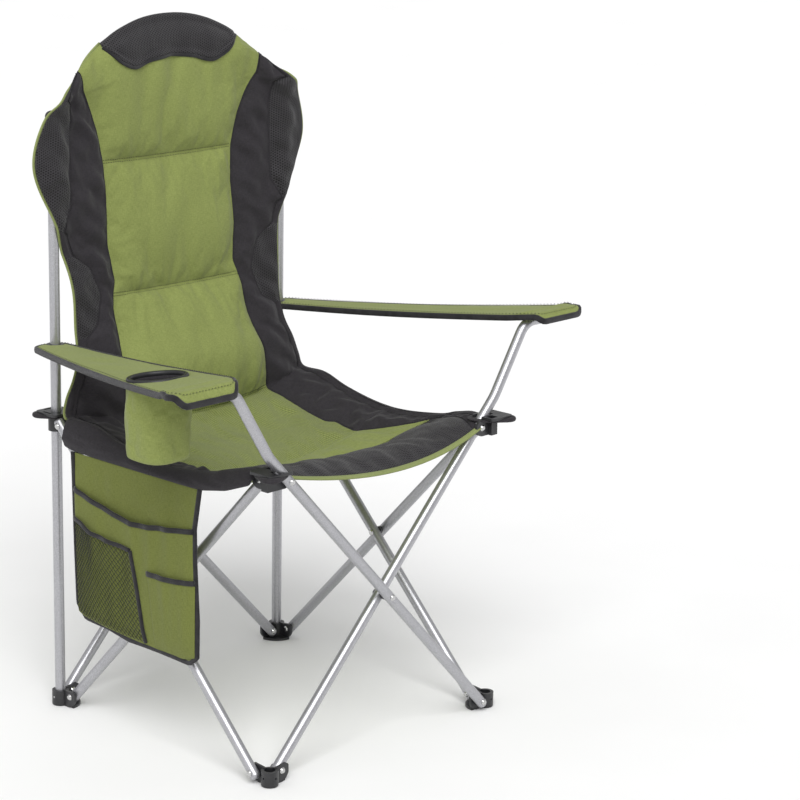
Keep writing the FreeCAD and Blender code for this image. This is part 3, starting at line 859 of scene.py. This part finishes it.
def make_seat_and_back():
    sling = Sling()
    band, crease, seam_3, seam_2, seam_1, top = sling.seams
    lines = column_lines()
    parts = {
        "back_cover": (seam_3, top, "rear_left_leg", "back_pad", 0.45),
        "seat_cover_rear": (crease, seam_3, "seat_rear_half", "seat_rear", 0.3),
        "seat_cover_front": (0, crease, "seat_front_half", "seat_front", 0.3),
    }
    for name, (low, high, body, node, fill) in parts.items():
        cover = sling.piece(name, max(low - 1, 0), high)
        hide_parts(node)
        place_soft(cover, body, "green_fabric")
        rows = {seam_1, seam_2, seam_3 + 1, band} & set(range(low + 1, high))
        seams = [sling.row_line(row, lines[2], lines[3], shift)
                 for row in sorted(rows) for shift in (0.45, -0.45)]
        sides = [(lines[2], -0.35), (lines[3], 0.35), (lines[1], 0.4), (lines[4], -0.4)]
        seams += [sling.column_line(column, low + 1, high - 1, shift) for column, shift in sides]
        place_soft(stitches(name + "_stitching", seams, DARK_THREAD), body, "black_mesh")
    path, out = border(sling, seam_3, top)
    for side, sign in SIDES.items():
        run = sign * path[:, 0] > HEM_END
        made = hem(f"back_hem_{side}", path[run], out[run], 0.005, 0.0026, 0.0004, 0.0026)
        place_soft(made, "rear_left_leg", "green_fabric")
    path, out = border(sling, 0, 4)
    made = hem("seat_hem_front", path, out, 0.011, 0.0050, 0.0026, 0.0014)
    place_soft(made, "seat_front_half", "green_fabric")
    for side, column in (("left", 0), ("right", -1)):
        for half, low, high in (("front", 4, crease + 1), ("rear", crease, seam_3)):
            wall = side_wall(f"seat_side_{half}_{side}", sling, low, high, column)
            place_soft(wall, f"seat_{half}_half", "black_mesh")
    return sling


# The head's mesh patch: (distance from the middle, height) along its lower edge.
HEAD_EDGE = [(0.0, 0.998), (0.045, 0.993), (0.082, 0.985), (0.108, 0.995), (0.137, 1.019)]
HEAD_HALF = HEAD_EDGE[-1][0]
HEAD_ROLL, ROLL_LIFT, HEAD_LIFT = 0.010, 0.0038, 0.0062  # the rim's width and height, and the middle's height


def make_head_patch(sling):
    """The padded mesh patch over the top of the head, with a rolled rim round a raised middle."""
    columns, rows = 81, 19
    x = np.linspace(-HEAD_HALF, HEAD_HALF, columns)
    at, heights = np.array(HEAD_EDGE).T
    low = through(at, heights[:, None], np.abs(x))[:, 0]
    half = half_width(np.array([TOP_T]))[0]
    s = x / half
    crest = ROW_CENTRE[-1, 1] + (ROW_EDGE[-1, 2] - ROW_CENTRE[-1, 1]) * np.abs(s) ** 2.2
    share = np.linspace(0, 1, rows)[:, None]
    z = low + (np.maximum(crest + 0.003, low + 0.003) - low) * share
    shape = sling.front[sling.seams[4]:]
    flat = shape.reshape(-1, 3)
    y = np.array([flat[np.argmin((flat[:, 0] - a) ** 2 + (flat[:, 2] - b) ** 2), 1]
                  for a, b in zip(np.tile(x, rows), z.ravel())]).reshape(z.shape)
    y = soften(y, 12)
    rim = np.minimum(z - low, np.minimum(crest - z + 0.003, (HEAD_HALF - np.abs(x)) * 0.6))
    rim = np.maximum(rim, 0)
    roll = np.sin(np.pi * np.clip(rim / HEAD_ROLL, 0, 1)) * ROLL_LIFT
    raised = HEAD_LIFT * crown(np.maximum(rim - HEAD_ROLL, 0), 0.009)
    lift = soften(0.0012 + roll + raised, 1)
    points = np.stack([x + 0 * z, y - lift, z], -1)
    behind = np.stack([x + 0 * z, y + 0.0015, z], -1)
    both, faces, _ = shell(points, behind)
    weave = np.tile(np.stack([x + 0 * z, z], -1).reshape(-1, 2), (2, 1))
    patch = mesh_piece("head_patch", both, faces, [MESH], weave=weave)
    add_subdivision(patch)
    place_soft(patch, "rear_left_leg", "black_mesh")
    under = np.stack([x, y[0] - 0.0024, low - 0.0012], 1)
    binding = sweep("head_patch_binding", under, same((0, -1, 0), columns), oval(0.0052, 0.003), TAPE)
    place_soft(binding, "rear_left_leg", "black_mesh")


SLEEVE_LOW, SLEEVE_R = 0.80, 0.0096  # where the pockets for the pole tops begin, and how wide they are
SLEEVE_DOME = 0.008  # the height of a pocket's rounded top
SLEEVE_THICK = 0.0012


def make_pole_sleeves():
    """The pockets on the back's rear face that the pole tops sit in."""
    for side, sign in SIDES.items():
        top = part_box(f"pole_cap_{side}")[1].z + 0.004
        body = "rear_left_leg" if side == "left" else "rear_right_leg"
        rise = SLEEVE_DOME * np.sin(np.linspace(0.2, 1.57, 7))
        heights = np.concatenate([np.linspace(SLEEVE_LOW, top - SLEEVE_DOME, 22), top - SLEEVE_DOME + rise])
        dome = SLEEVE_R * np.sqrt(np.maximum(1 - ((heights - top + SLEEVE_DOME) / 0.0081) ** 2, 0.0004))
        radius = np.where(heights > top - SLEEVE_DOME, dome, SLEEVE_R)
        turn = turns(28)
        rings = np.stack([sign * HALF + radius[:, None] * np.cos(turn), HALF + radius[:, None] * np.sin(turn),
                          heights[:, None] + 0 * turn], -1)
        swell = 0.0005 * ripple(rings, 0.012, 5.0 + sign, stretch=(1, 1, 0.4))
        away = unit(rings * (1, 1, 0) - np.array([sign * HALF, HALF, 0]))
        rings = rings + away * swell[..., None]
        faces = list(map(list, grid_faces(len(heights), len(turn), wrap=True)))
        faces.append(lid(len(heights) - 1, len(turn)))
        weave = np.stack([np.tile(turn * SLEEVE_R, len(heights)), np.repeat(heights, len(turn))], 1)
        sleeve = mesh_piece(f"pole_sleeve_{side}", rings.reshape(-1, 3), faces, [CHARCOAL], weave=weave)
        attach(sleeve, body)
        thicken(sleeve, SLEEVE_THICK)
        cuff_r = SLEEVE_R + 0.0004
        cuff = np.column_stack([circle(sign * HALF, HALF, cuff_r, turn), 0 * turn + SLEEVE_LOW])
        band = sweep(f"pole_sleeve_cuff_{side}", cuff, unit(cuff - np.array([sign * HALF, HALF, SLEEVE_LOW])),
                     oval(0.010, 0.0028), TAPE, closed=True)
        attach(band, body)


# ---------------------------------------------------------------- flat cloth cut to an outline

def rounded(corners, radii, step=0.005):
    """A closed outline through those corners, each rounded to its radius."""
    corners = [np.array(corner, float) for corner in corners]
    made = []
    for i, corner in enumerate(corners):
        back = unit(corners[i - 1] - corner)
        ahead = unit(corners[(i + 1) % len(corners)] - corner)
        opening = math.acos(np.clip(back @ ahead, -1, 1))
        run = radii[i] / math.tan(opening / 2)
        centre = corner + unit(back + ahead) * radii[i] / math.sin(opening / 2)
        start, end = corner + back * run - centre, corner + ahead * run - centre
        sweep_angle = math.pi - opening
        count = max(2, math.ceil(sweep_angle * radii[i] / step) + 1)
        turning = np.sign(start[0] * end[1] - start[1] * end[0])
        for share in np.linspace(0, 1, count):
            c, s = math.cos(turning * sweep_angle * share), math.sin(turning * sweep_angle * share)
            made.append(centre + np.array([start[0] * c - start[1] * s, start[0] * s + start[1] * c]))
    return spaced(np.array(made), step, closed=True)


def inside(points, outline):
    """Which points lie inside a closed outline."""
    x, y = points[:, 0], points[:, 1]
    hit = np.zeros(len(points), bool)
    for a, b in zip(outline, np.roll(outline, -1, axis=0)):
        crosses = (a[1] > y) != (b[1] > y)
        with np.errstate(divide="ignore", invalid="ignore"):
            hit ^= crosses & (x < (b[0] - a[0]) * (y - a[1]) / (b[1] - a[1]) + a[0])
    return hit


def cut(outline, holes=(), step=0.007):
    """Flat cloth cut to an outline with holes: its points and triangles, close to even."""
    loops = [np.asarray(outline), *[np.asarray(hole) for hole in holes]]
    low, high = loops[0].min(axis=0), loops[0].max(axis=0)
    rows = np.arange(low[1] + step / 2, high[1], step * 0.866)
    fill = np.array([(x + (step / 2 if i % 2 else 0), y) for i, y in enumerate(rows)
                     for x in np.arange(low[0] + step / 2, high[0], step)])
    keep = inside(fill, loops[0])
    for hole in loops[1:]:
        keep &= ~inside(fill, hole)
    for loop in loops:
        near = np.sqrt(((fill[:, None] - loop[None]) ** 2).sum(-1)).min(axis=1)
        keep &= near > step * 0.55
    points, edges, start = [], [], 0
    for loop in loops:
        points += [Vector(point) for point in loop]
        edges += [(start + k, start + (k + 1) % len(loop)) for k in range(len(loop))]
        start += len(loop)
    points += [Vector(point) for point in fill[keep]]
    made = delaunay_2d_cdt(points, edges, [], 1, 1e-7)
    flat = np.array([tuple(point) for point in made[0]])
    faces = np.array([list(face) for face in made[2] if len(face) == 3])
    middle = flat[faces].mean(axis=1)
    open_part = np.zeros(len(faces), bool)
    for hole in loops[1:]:
        open_part |= inside(middle, hole)
    return flat, faces[~open_part]


# ---------------------------------------------------------------- arms and cup holder

ARM_RISE = 0.0895  # the arms' rise towards the front, per metre
ARM_REAR_Z = 0.572
ARM_THICK = 0.0034
ARM_BINDING, BINDING_DROP = (0.0062, 0.0095), 0.0022  # its profile, and how far it sits below the cloth
# At the pole, and what is added by the post: the distance of the arm's middle line, and half its width.
ARM_MIDDLE, ARM_HALF = (0.237, 0.1255), (0.026, 0.036)
ARM_WAVE, ARM_PUFF = 0.0013, 0.0016  # the depth of its waves, and how far it rises inside its rim
SEAM_INSET, SEAM_LIFT = 0.0056, 0.0036  # its stitches, inside its outline and above its middle surface
ARM_SAG, ARM_DROOP = 0.0055, 0.0022  # how far the arm hangs in its middle, and more at its outer edge
CUP_X, CUP_Y = (CUP_LOW.x + CUP_HIGH.x) / 2, (CUP_LOW.y + CUP_HIGH.y) / 2
CUP_HOLE_R, CUP_R = 0.0395, 0.0415
CUP_PUSH, CUP_SLACK, CUP_CAP = 0.5, 0.03, 0.0035  # its simulation, and how far its cloth may move
CUP_CREASE, CREASE_SIZE = 0.0012, 0.013
CUP_SQUARE = 3.4  # how square its section is: 2 is round
CUP_THICK, LINING_THICK = 0.0014, 0.0008
RING_PROFILE, RING_OUT, RING_UP = (0.0075, 0.0085), 0.0012, 0.0022  # outside the hole, over the arm's middle
LINING_SHARE, LINING_MOUTH = 0.88, 1.05  # the lining's share of the wall's radius, and its mouth's of that
# Each ring of its floor: its share of the wall's radius, and its drop below the wall's foot.
CUP_FLOOR = [(0.93, 0.0035), (0.7, 0.0045), (0.4, 0.0042), (0.12, 0.004)]
CUP_AROUND, CUP_DOWN = 64, 26  # points round it and rings down its wall
CUP_ROW = 0.0045  # a ring's height on the flat cloth
POLE_HOLE_R = 0.0093
ARM_TIP = {"left": 0.4385, "right": 0.430}  # the front outer corner's distance from the middle
ARM_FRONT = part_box("arm_left")[0].y - 0.0015
LIP, LIP_DROP = 0.010, 0.014  # the arm's front end rolls down over its post
POST_LOW, POST_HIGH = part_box("post_cap_right")
POST_Y, POST_Z = (POST_LOW.y + POST_HIGH.y) / 2, (POST_LOW.z + POST_HIGH.z) / 2
# From the post's axis to the middle of the cloth over it.
POST_WRAP = (POST_HIGH.z - POST_LOW.z) / 2 + 0.0042
ARM_SLANT = (0.3035, 0.9528)  # the arm's way from its post to its pole, as shares of its length
ARM_KEEP = 0.149  # the share of its length that an arm keeps when the frame folds


def arm_gather(sign):
    """An anchor at the arm's rear pole, an axis along the arm and a kept share, for crumple."""
    return {"anchor": (sign * HALF, HALF, 0), "axis": (-sign * ARM_SLANT[0], ARM_SLANT[1], 0),
            "keep": ARM_KEEP}


def arm_height(x, y):
    """The arm's middle surface: it rises to the front, sags between pole and post, and wraps the post."""
    share = np.clip((HALF - y) / (2 * HALF), 0, 1)
    outer = np.abs(x)
    mid = ARM_MIDDLE[0] + ARM_MIDDLE[1] * share
    half = ARM_HALF[0] + ARM_HALF[1] * share
    off = np.clip((outer - mid) / half, -1.2, 1.2)
    sag = ARM_SAG * np.sin(np.pi * share) * (1 - 0.35 * off ** 2)
    droop = ARM_DROOP * np.clip(off, 0, 1) ** 2 * np.sin(np.pi * share) ** 0.5
    lip = np.where(x > 0, 0.55, 1.0) * LIP_DROP * (1 - np.clip((y - ARM_FRONT) / LIP, 0, 1)) ** 1.6
    flat = ARM_REAR_Z + ARM_THICK / 2 + ARM_RISE * (HALF - y) - sag - droop - lip
    over = POST_Z + np.sqrt(np.maximum(POST_WRAP ** 2 - (y - POST_Y) ** 2, 0))
    wrapped = (np.abs(y - POST_Y) < POST_WRAP * 0.96) & (outer > 0.31)
    return np.where(wrapped, np.maximum(flat, over), flat)


def arm_outline(side):
    """The arm's outline from above: narrow round its pole, and wide over its post."""
    sign, node = SIDES[side], f"arm_{side}"
    low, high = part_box(node)
    corners = [(0.2125, high.y), (0.2615, high.y), (ARM_TIP[side], ARM_FRONT), (0.322, ARM_FRONT),
               (0.296, low.y + 0.032)]
    return rounded([(sign * x, y) for x, y in corners], [0.0235, 0.0235, 0.018, 0.012, 0.012])


def make_arm(side):
    sign, body, node = SIDES[side], f"{side}_arm", f"arm_{side}"
    outline = arm_outline(side)
    holes = []
    if side == "left":
        holes = [circle(CUP_X, CUP_Y, CUP_HOLE_R, turns(44))]
    holes.append(circle(sign * HALF, HALF, POLE_HOLE_R, turns(20)))
    flat, faces = cut(outline, holes, 0.0065)
    z = arm_height(flat[:, 0], flat[:, 1])
    space = np.column_stack([flat, z])
    rim = np.sqrt(((flat[:, None] - outline[None]) ** 2).sum(-1)).min(axis=1)
    waves = ARM_WAVE * ripple(space, 0.03, 6.0 + sign, stretch=(1, 0.45, 1)) * crown(rim, 0.012)
    space[:, 2] = z + waves + ARM_PUFF * crown(rim, 0.008)
    arm = mesh_piece(f"arm_cover_{side}", space, faces, [GREEN], weave=flat)
    thicken(arm, ARM_THICK, levels=1)
    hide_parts(node)
    edge = np.column_stack([outline, arm_height(outline[:, 0], outline[:, 1]) - BINDING_DROP])
    profile = oval(*ARM_BINDING, points=12, power=3)
    binding = sweep(f"arm_binding_{side}", edge, same((0, 0, 1), len(edge)), profile, TAPE, closed=True)
    inner = outline + unit(outline.mean(axis=0) - outline) * SEAM_INSET
    inner = np.column_stack([inner, arm_height(inner[:, 0], inner[:, 1]) + SEAM_LIFT])
    inner = spaced(inner, 0.004, closed=True)
    sewing = stitches(f"arm_stitching_{side}", [(inner, same((0, 0, 1), len(inner)))], DARK_THREAD)
    for piece, slot in ((arm, "green_fabric"), (binding, "black_mesh"), (sewing, "black_mesh")):
        place_soft(piece, body, slot, **arm_gather(sign))


def draw_in(points, share):
    """Moves the points to that share of their distance from the cup holder's axis."""
    points[..., :2] = (points[..., :2] - (CUP_X, CUP_Y)) * share + (CUP_X, CUP_Y)


def cup_rings():
    """Rings of points down the cup holder's wall and over its floor, and the height of the first one."""
    turn = turns(CUP_AROUND)
    c, s = np.cos(turn), np.sin(turn)
    square = (np.abs(c) ** CUP_SQUARE + np.abs(s) ** CUP_SQUARE) ** (-1 / CUP_SQUARE)
    share = np.linspace(0, 1, CUP_DOWN)[:, None]
    radius = CUP_R * (1 + (square * 0.965 - 1) * np.minimum(1, share * 2.5)) * (1 - 0.05 * share ** 2)
    top = arm_height(CUP_X + CUP_R * c, CUP_Y + CUP_R * s) - BINDING_DROP
    z = top + (CUP_LOW.z + max(drop for _, drop in CUP_FLOOR) - top) * share
    rings = [*np.stack([CUP_X + radius * c, CUP_Y + radius * s, z], -1)]
    wall_foot = rings[-1]
    for shrink, drop in CUP_FLOOR:
        ring = wall_foot.copy()
        draw_in(ring, shrink)
        ring[:, 2] -= drop
        rings.append(ring)
    return np.array(rings), top


def creased(rings, faces):
    """The cup holder's rings with small creases, settled."""
    held = np.zeros(rings.shape[:2], bool)
    held[0] = held[CUP_DOWN - 1] = held[-1] = True
    held[:, [CUP_AROUND * 3 // 8, CUP_AROUND * 7 // 8]] = True
    turn = turns(CUP_AROUND)
    outwards = np.stack([np.cos(turn), np.sin(turn), 0 * turn], -1)
    creases = CUP_CREASE * ripple(rings, CREASE_SIZE, 9.0, stretch=(1, 1, 0.3))
    seed = rings.copy()
    seed[1:CUP_DOWN - 1] += (creases[..., None] * outwards)[1:CUP_DOWN - 1]
    moved = settle(seed.reshape(-1, 3), faces, held.ravel(), CUP_PUSH, CUP_SLACK)
    return seed + limited(moved.reshape(rings.shape) - seed, CUP_CAP)


def make_cup_pocket():
    """The cup holder under the left arm: a soft squarish tube with a floor, a dark lining and a ring."""
    around, down = CUP_AROUND, CUP_DOWN
    turn = turns(around)
    rings, top = cup_rings()
    faces = grid_faces(len(rings), around, wrap=True)[:, ::-1]
    seed = creased(rings, faces)
    faces = [list(face) for face in faces] + [lid(len(rings) - 1, around)]
    weave = np.stack([np.tile(turn * CUP_R, len(rings)),
                      np.repeat(np.arange(len(rings)) * CUP_ROW, around)], 1)
    pocket = mesh_piece("cup_holder", seed.reshape(-1, 3), faces, [GREEN], weave=weave)
    thicken(pocket, CUP_THICK, levels=1)
    inner = rings[:down].copy()
    draw_in(inner, LINING_SHARE)
    draw_in(inner[0], LINING_MOUTH)
    inner[0, :, 2] += 0.005
    inner[-1, :, 2] += 0.002
    lining_faces = [list(face) for face in grid_faces(down, around, wrap=True)]
    lining_faces.append(lid(down - 1, around)[::-1])
    lining = mesh_piece("cup_lining", inner.reshape(-1, 3), lining_faces, [CHARCOAL],
                        weave=weave[:down * around])
    thicken(lining, LINING_THICK)
    mouth = circle(CUP_X, CUP_Y, CUP_HOLE_R + RING_OUT, turn)
    mouth = np.column_stack([mouth, arm_height(mouth[:, 0], mouth[:, 1]) + RING_UP])
    profile = oval(*RING_PROFILE, points=14)
    ring = sweep("cup_mouth_ring", mouth, same((0, 0, 1), around), profile, FRAME_FINISH["nylon"],
                 closed=True)
    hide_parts("cup_ring")
    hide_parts("cup_pocket")
    for piece, finish in ((pocket, "green_fabric"), (lining, "black_mesh"), (ring, "nylon")):
        place_soft(piece, "left_arm", finish, **arm_gather(-1))


# ---------------------------------------------------------------- side pocket

PANEL_X = PANEL_LOW.x
OUTSIDE = np.array([-1.0, 0.0, 0.0])  # out from the panel, to the chair's left
PANEL_THICK, POUCH_THICK, NET_CORD = 0.0014, 0.0012, 0.0011
SWING_WAVE, SWING_OUT = 0.0042, 0.0016  # how far the panel's foot waves, and stands, outwards
POCKET_GATHER = {"anchor": (0, HALF, 0), "axis": (0, 1, 0), "keep": FOLD_KEEP}


def panel_swing(y, z):
    """How far the hanging panel stands out from its flat place: nothing at its top, soft waves below."""
    share = np.clip((PANEL_HIGH.z - z) / (PANEL_HIGH.z - PANEL_LOW.z), 0, 1)
    wave = 0.5 + 0.5 * np.sin((y - PANEL_LOW.y) * 26 + share * 2.1)
    return SWING_WAVE * share * wave + SWING_OUT * share


# Edges as (y, z), from the rear to the front.
PANEL_EDGE = [(0.168, 0.426), (0.166, 0.400), (0.160, 0.290), (0.154, 0.192), (0.135, 0.1735), (0.084, 0.170),
              (0.0385, 0.161), (-0.096, 0.159), (-0.1125, 0.171), (-0.1126, 0.226), (-0.105, 0.314),
              (-0.103, 0.364), (-0.113, 0.426)]
WIDE_TOP = [(0.162, 0.371), (0.145, 0.3666), (0.036, 0.3465), (-0.037, 0.352), (-0.1025, 0.360)]
WIDE_FOOT = [(0.151, 0.180), (0.130, 0.1745), (0.036, 0.164), (-0.037, 0.1605), (-0.108, 0.166)]
WIDE_LOW, WIDE_TALL = 0.165, 0.19  # the height of the wide pouch's foot, and its own height
NET_TOP = [(0.160, 0.326), (0.136, 0.322), (0.1135, 0.313), (0.070, 0.308), (0.028, 0.304)]
NET_FOOT = [(0.151, 0.182), (0.120, 0.175), (0.080, 0.171), (0.040, 0.167), (0.000, 0.166)]
SMALL_TOP = [(-0.008, 0.277), (-0.035, 0.278), (-0.060, 0.279), (-0.085, 0.281), (-0.109, 0.284)]
SMALL_FOOT = [(-0.022, 0.166), (-0.045, 0.163), (-0.065, 0.163), (-0.085, 0.163), (-0.110, 0.170)]


def wide_stand(y, z):
    """How far the wide pouch stands out from the panel at a place."""
    across = np.clip((y - WIDE_TOP[-1][0]) / (WIDE_TOP[0][0] - WIDE_TOP[-1][0]), 0, 1)
    up = np.clip((z - WIDE_LOW) / WIDE_TALL, 0, 1)
    open_side = np.sin(np.pi * across) ** 0.5
    gathers = 0.0028 * np.sin(across * 41) * np.sin(np.pi * across) * (1 - across) * up
    return 0.0018 + 0.0068 * open_side * (0.45 + 0.55 * up ** 1.5) * np.minimum(1, up * 8 + 0.1) + gathers


def pouch(name, node, top, foot, layer, material, tape=0.008, front_tape=False):
    """A pouch sewn to the panel, open at its top; layer is how far it stands off the cloth behind it."""
    columns, rows = 41, 33
    share = np.linspace(0, 1, columns)
    spots = np.linspace(0, 1, len(top))
    across, up = np.meshgrid(share, np.linspace(0, 1, rows))
    low, high = through(spots, foot, share), through(spots, top, share)
    y, z = [low[:, axis] * (1 - up) + high[:, axis] * up for axis in (0, 1)]
    bulge = np.sin(np.pi * across) ** 0.6 * (0.4 + 0.6 * up ** 1.5) * np.minimum(1, up * 8 + 0.1)
    stand = wide_stand(y, z) + layer * (0.3 + 0.7 * bulge)
    x = PANEL_X - panel_swing(y, z) - stand
    points = np.stack([x, y, z], -1)
    gathers = ripple(points, 0.017, 10.0 + layer * 99, stretch=(0.4, 1, 0.25))
    points[..., 0] -= 0.0018 * gathers * bulge
    points = points[:, ::-1]
    cloth = points[..., 1:].reshape(-1, 2)
    if material is None:
        piece = netting(name, points)
    else:
        faces = grid_faces(rows, columns)[:, ::-1]
        piece = mesh_piece(name, points.reshape(-1, 3), faces, [material], weave=cloth)
        thicken(piece, POUCH_THICK, levels=1)
    edges = {"top": points[-1]}
    if front_tape:
        edges["front"] = points[:, 0]
    trims = []
    for edge, path in edges.items():
        path = spaced(path, 0.004) + OUTSIDE * 0.0008
        profile = oval(tape, 0.003, power=4)
        trims.append(sweep(f"{name}_tape_{edge}", path, same(OUTSIDE, len(path)), profile, TAPE))
    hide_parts(node)
    for made in (piece, *trims):
        place_soft(made, "rear_left_hub", "green_fabric" if made is piece and material else "black_mesh",
                   **POCKET_GATHER)


def netting(name, points):
    """Open netting over a grid of points: thin cords in diamonds."""
    rows, columns = points.shape[:2]
    faces = []
    for row in range(1, rows - 1):
        for column in range(1 + row % 2, columns - 1, 2):
            faces.append([row * columns + column - 1, (row + 1) * columns + column,
                          row * columns + column + 1, (row - 1) * columns + column])
    used = sorted({index for face in faces for index in face})
    place = {index: k for k, index in enumerate(used)}
    faces = [[place[index] for index in face] for face in faces]
    flat = points.reshape(-1, 3)[used]
    net = mesh_piece(name, flat, faces, [NET], weave=flat[:, 1:])
    cords = net.modifiers.new("cords", "WIREFRAME")
    cords.thickness = NET_CORD
    cords.use_even_offset = False
    return net


def make_side_pocket():
    """The panel that hangs below the seat's left side, with a binding and three pouches."""
    corners = np.array(PANEL_EDGE)
    outline = spaced(corners, 0.005, closed=True)
    flat, faces = cut(outline, step=0.0075)
    x = PANEL_X + 0.0004 - panel_swing(flat[:, 0], flat[:, 1])
    space = np.column_stack([x, flat])
    folds = 0.0026 * np.abs(ripple(space, 0.030, 14.0, stretch=(1, 1, 0.6)))
    x = x - folds * np.clip((PANEL_HIGH.z - flat[:, 1]) / 0.03, 0, 1)
    panel = mesh_piece("side_pocket_panel", np.column_stack([x, flat]), faces, [SHADED_POCKET_GREEN], weave=flat)
    thicken(panel, PANEL_THICK, levels=1)
    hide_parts("pocket_panel")
    edge = spaced(corners, 0.005)
    path = np.column_stack([PANEL_X - 0.0006 - panel_swing(edge[:, 0], edge[:, 1]), edge])
    profile = oval(0.008, 0.0042, power=4)
    binding = sweep("side_pocket_binding", path, same(OUTSIDE, len(path)), profile, TAPE)
    place_soft(panel, "rear_left_hub", "green_fabric", **POCKET_GATHER)
    place_soft(binding, "rear_left_hub", "black_mesh", **POCKET_GATHER)
    pouch("pocket_wide", "pocket_large", WIDE_TOP, WIDE_FOOT, 0.0, SHADED_POCKET_GREEN)
    pouch("pocket_net", "pocket_mesh", NET_TOP, NET_FOOT, 0.005, None, tape=0.0068, front_tape=True)
    pouch("pocket_small", "pocket_pen", SMALL_TOP, SMALL_FOOT, 0.005, SHADED_POCKET_GREEN)


# ---------------------------------------------------------------- corner tabs

# The tab's section from its inner edge round to it again: (share of the way out, share of its thickness).
TAB_SECTION = [(0.0, 0.55), (0.12, 0.95), (0.5, 1.0), (0.85, 0.92), (0.97, 0.55), (1.0, 0.0),
               (0.97, -0.55), (0.85, -0.92), (0.5, -1.0), (0.12, -0.95), (0.0, -0.55)]
TAB_BORE, TAB_DROP = 0.0142, 0.0062  # its hole, and how far it lies below the hub's top
TAB_R, TAB_TIP, TAB_ROOT = 0.0245, 0.0125, 0.014  # its radius, and what its tip and its root add
TAB_THICK, TIP_THICK = 0.0017, 0.0032  # half its thickness, and what its tip adds


def corner_tab(name, x_sign, y_sign):
    """One padded tab: fat and long towards its corner, with a root towards the seat."""
    out = math.atan2(y_sign, x_sign)
    turn = turns(72)
    tip = np.maximum(0, np.cos(turn - out))
    root = np.maximum(0, -np.cos(turn - out))
    radius = TAB_R + TAB_TIP * tip ** 5 + TAB_ROOT * root ** 3
    rings = []
    for share, lift in TAB_SECTION:
        reach = TAB_BORE + (radius - TAB_BORE) * share
        fat = TAB_THICK + TIP_THICK * tip ** 3 * share
        flat = circle(x_sign * HALF, y_sign * HALF, reach, turn)
        rings.append(np.column_stack([flat, HUB_HIGH.z - TAB_DROP + fat * lift]))
    rings = np.array(rings)
    around = len(turn)
    faces = list(map(list, grid_faces(len(rings), around, wrap=True)))
    last = (len(rings) - 1) * around
    faces += [[last + k, last + (k + 1) % around, (k + 1) % around, k] for k in range(around)]
    flat = rings.reshape(-1, 3)
    tab = mesh_piece(name, flat, [face[::-1] for face in faces], [CHARCOAL], weave=flat[:, :2])
    add_subdivision(tab)
    return tab


def make_corner_tabs():
    """The padded cloth tabs that hold the sling's corners round the four hubs."""
    for end, y_sign in (("front", -1), ("rear", 1)):
        for side, x_sign in SIDES.items():
            tab = corner_tab(f"corner_tab_{end}_{side}", x_sign, y_sign)
            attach(tab, f"{end}_{side}_hub")


# ---------------------------------------------------------------- camera, light and floor

CAMERA_PLACE = (-2.7927, -2.8703, 1.5029)
CAMERA_TURN, CAMERA_DIP, CAMERA_ROLL = -0.8193, 0.2466, 0.0170  # radians
CAMERA_LENS, SENSOR = 121.82, 36.0


def make_camera():
    data = bpy.data.cameras.new("camera")
    data.lens = CAMERA_LENS
    data.sensor_width = SENSOR
    camera = add_object("camera", data)
    turn = Matrix.Rotation(CAMERA_TURN, 4, "Z") @ Matrix.Rotation(math.pi / 2 - CAMERA_DIP, 4, "X")
    camera.matrix_world = Matrix.Translation(CAMERA_PLACE) @ turn @ Matrix.Rotation(CAMERA_ROLL, 4, "Z")
    bpy.context.scene.camera = camera


def soft_sun(name, azimuth, height, wide, strength):
    """A broad, even light from that direction, in degrees; wide is the angle that it fills."""
    data = bpy.data.lights.new(name, "SUN")
    data.angle = math.radians(wide)
    data.energy = strength
    lamp = add_object(name, data)
    lamp.rotation_euler = Euler((math.radians(90 - height), 0, math.radians(azimuth)))


def make_stage():
    floor_finish = Finish("pale_floor", Roughness=0.8, Specular_IOR_Level=0.2)
    clouds = floor_finish.speckle(floor_finish.place(), 0.5)
    shade = floor_finish.ramp(clouds, (0.3, (0.9, 0.9, 0.9, 1)), (0.7, (0.93, 0.93, 0.93, 1)))
    reach = 14.0
    corners = [(-reach, -reach, 0), (reach, -reach, 0), (reach, reach, 0), (-reach, reach, 0)]
    floor = mesh_piece("floor", corners, [(0, 1, 2, 3)], [floor_finish.done(Base_Color=shade)])
    floor.location.z = -0.0003
    world = bpy.data.worlds.new("studio")
    world.use_nodes = True
    background = world.node_tree.nodes["Background"].inputs
    background["Color"].default_value = (1, 1, 1, 1)
    background["Strength"].default_value = 0.56
    bpy.context.scene.world = world
    soft_sun("key", -42, 46, 42, 2.3)
    soft_sun("fill", -100, 30, 60, 0.3)
    bpy.context.scene.view_settings.view_transform = "Standard"


make_camera()
make_stage()
finish_frame()
SLING = make_seat_and_back()
make_head_patch(SLING)
make_pole_sleeves()
for arm in SIDES:
    make_arm(arm)
make_cup_pocket()
make_side_pocket()
make_corner_tabs()
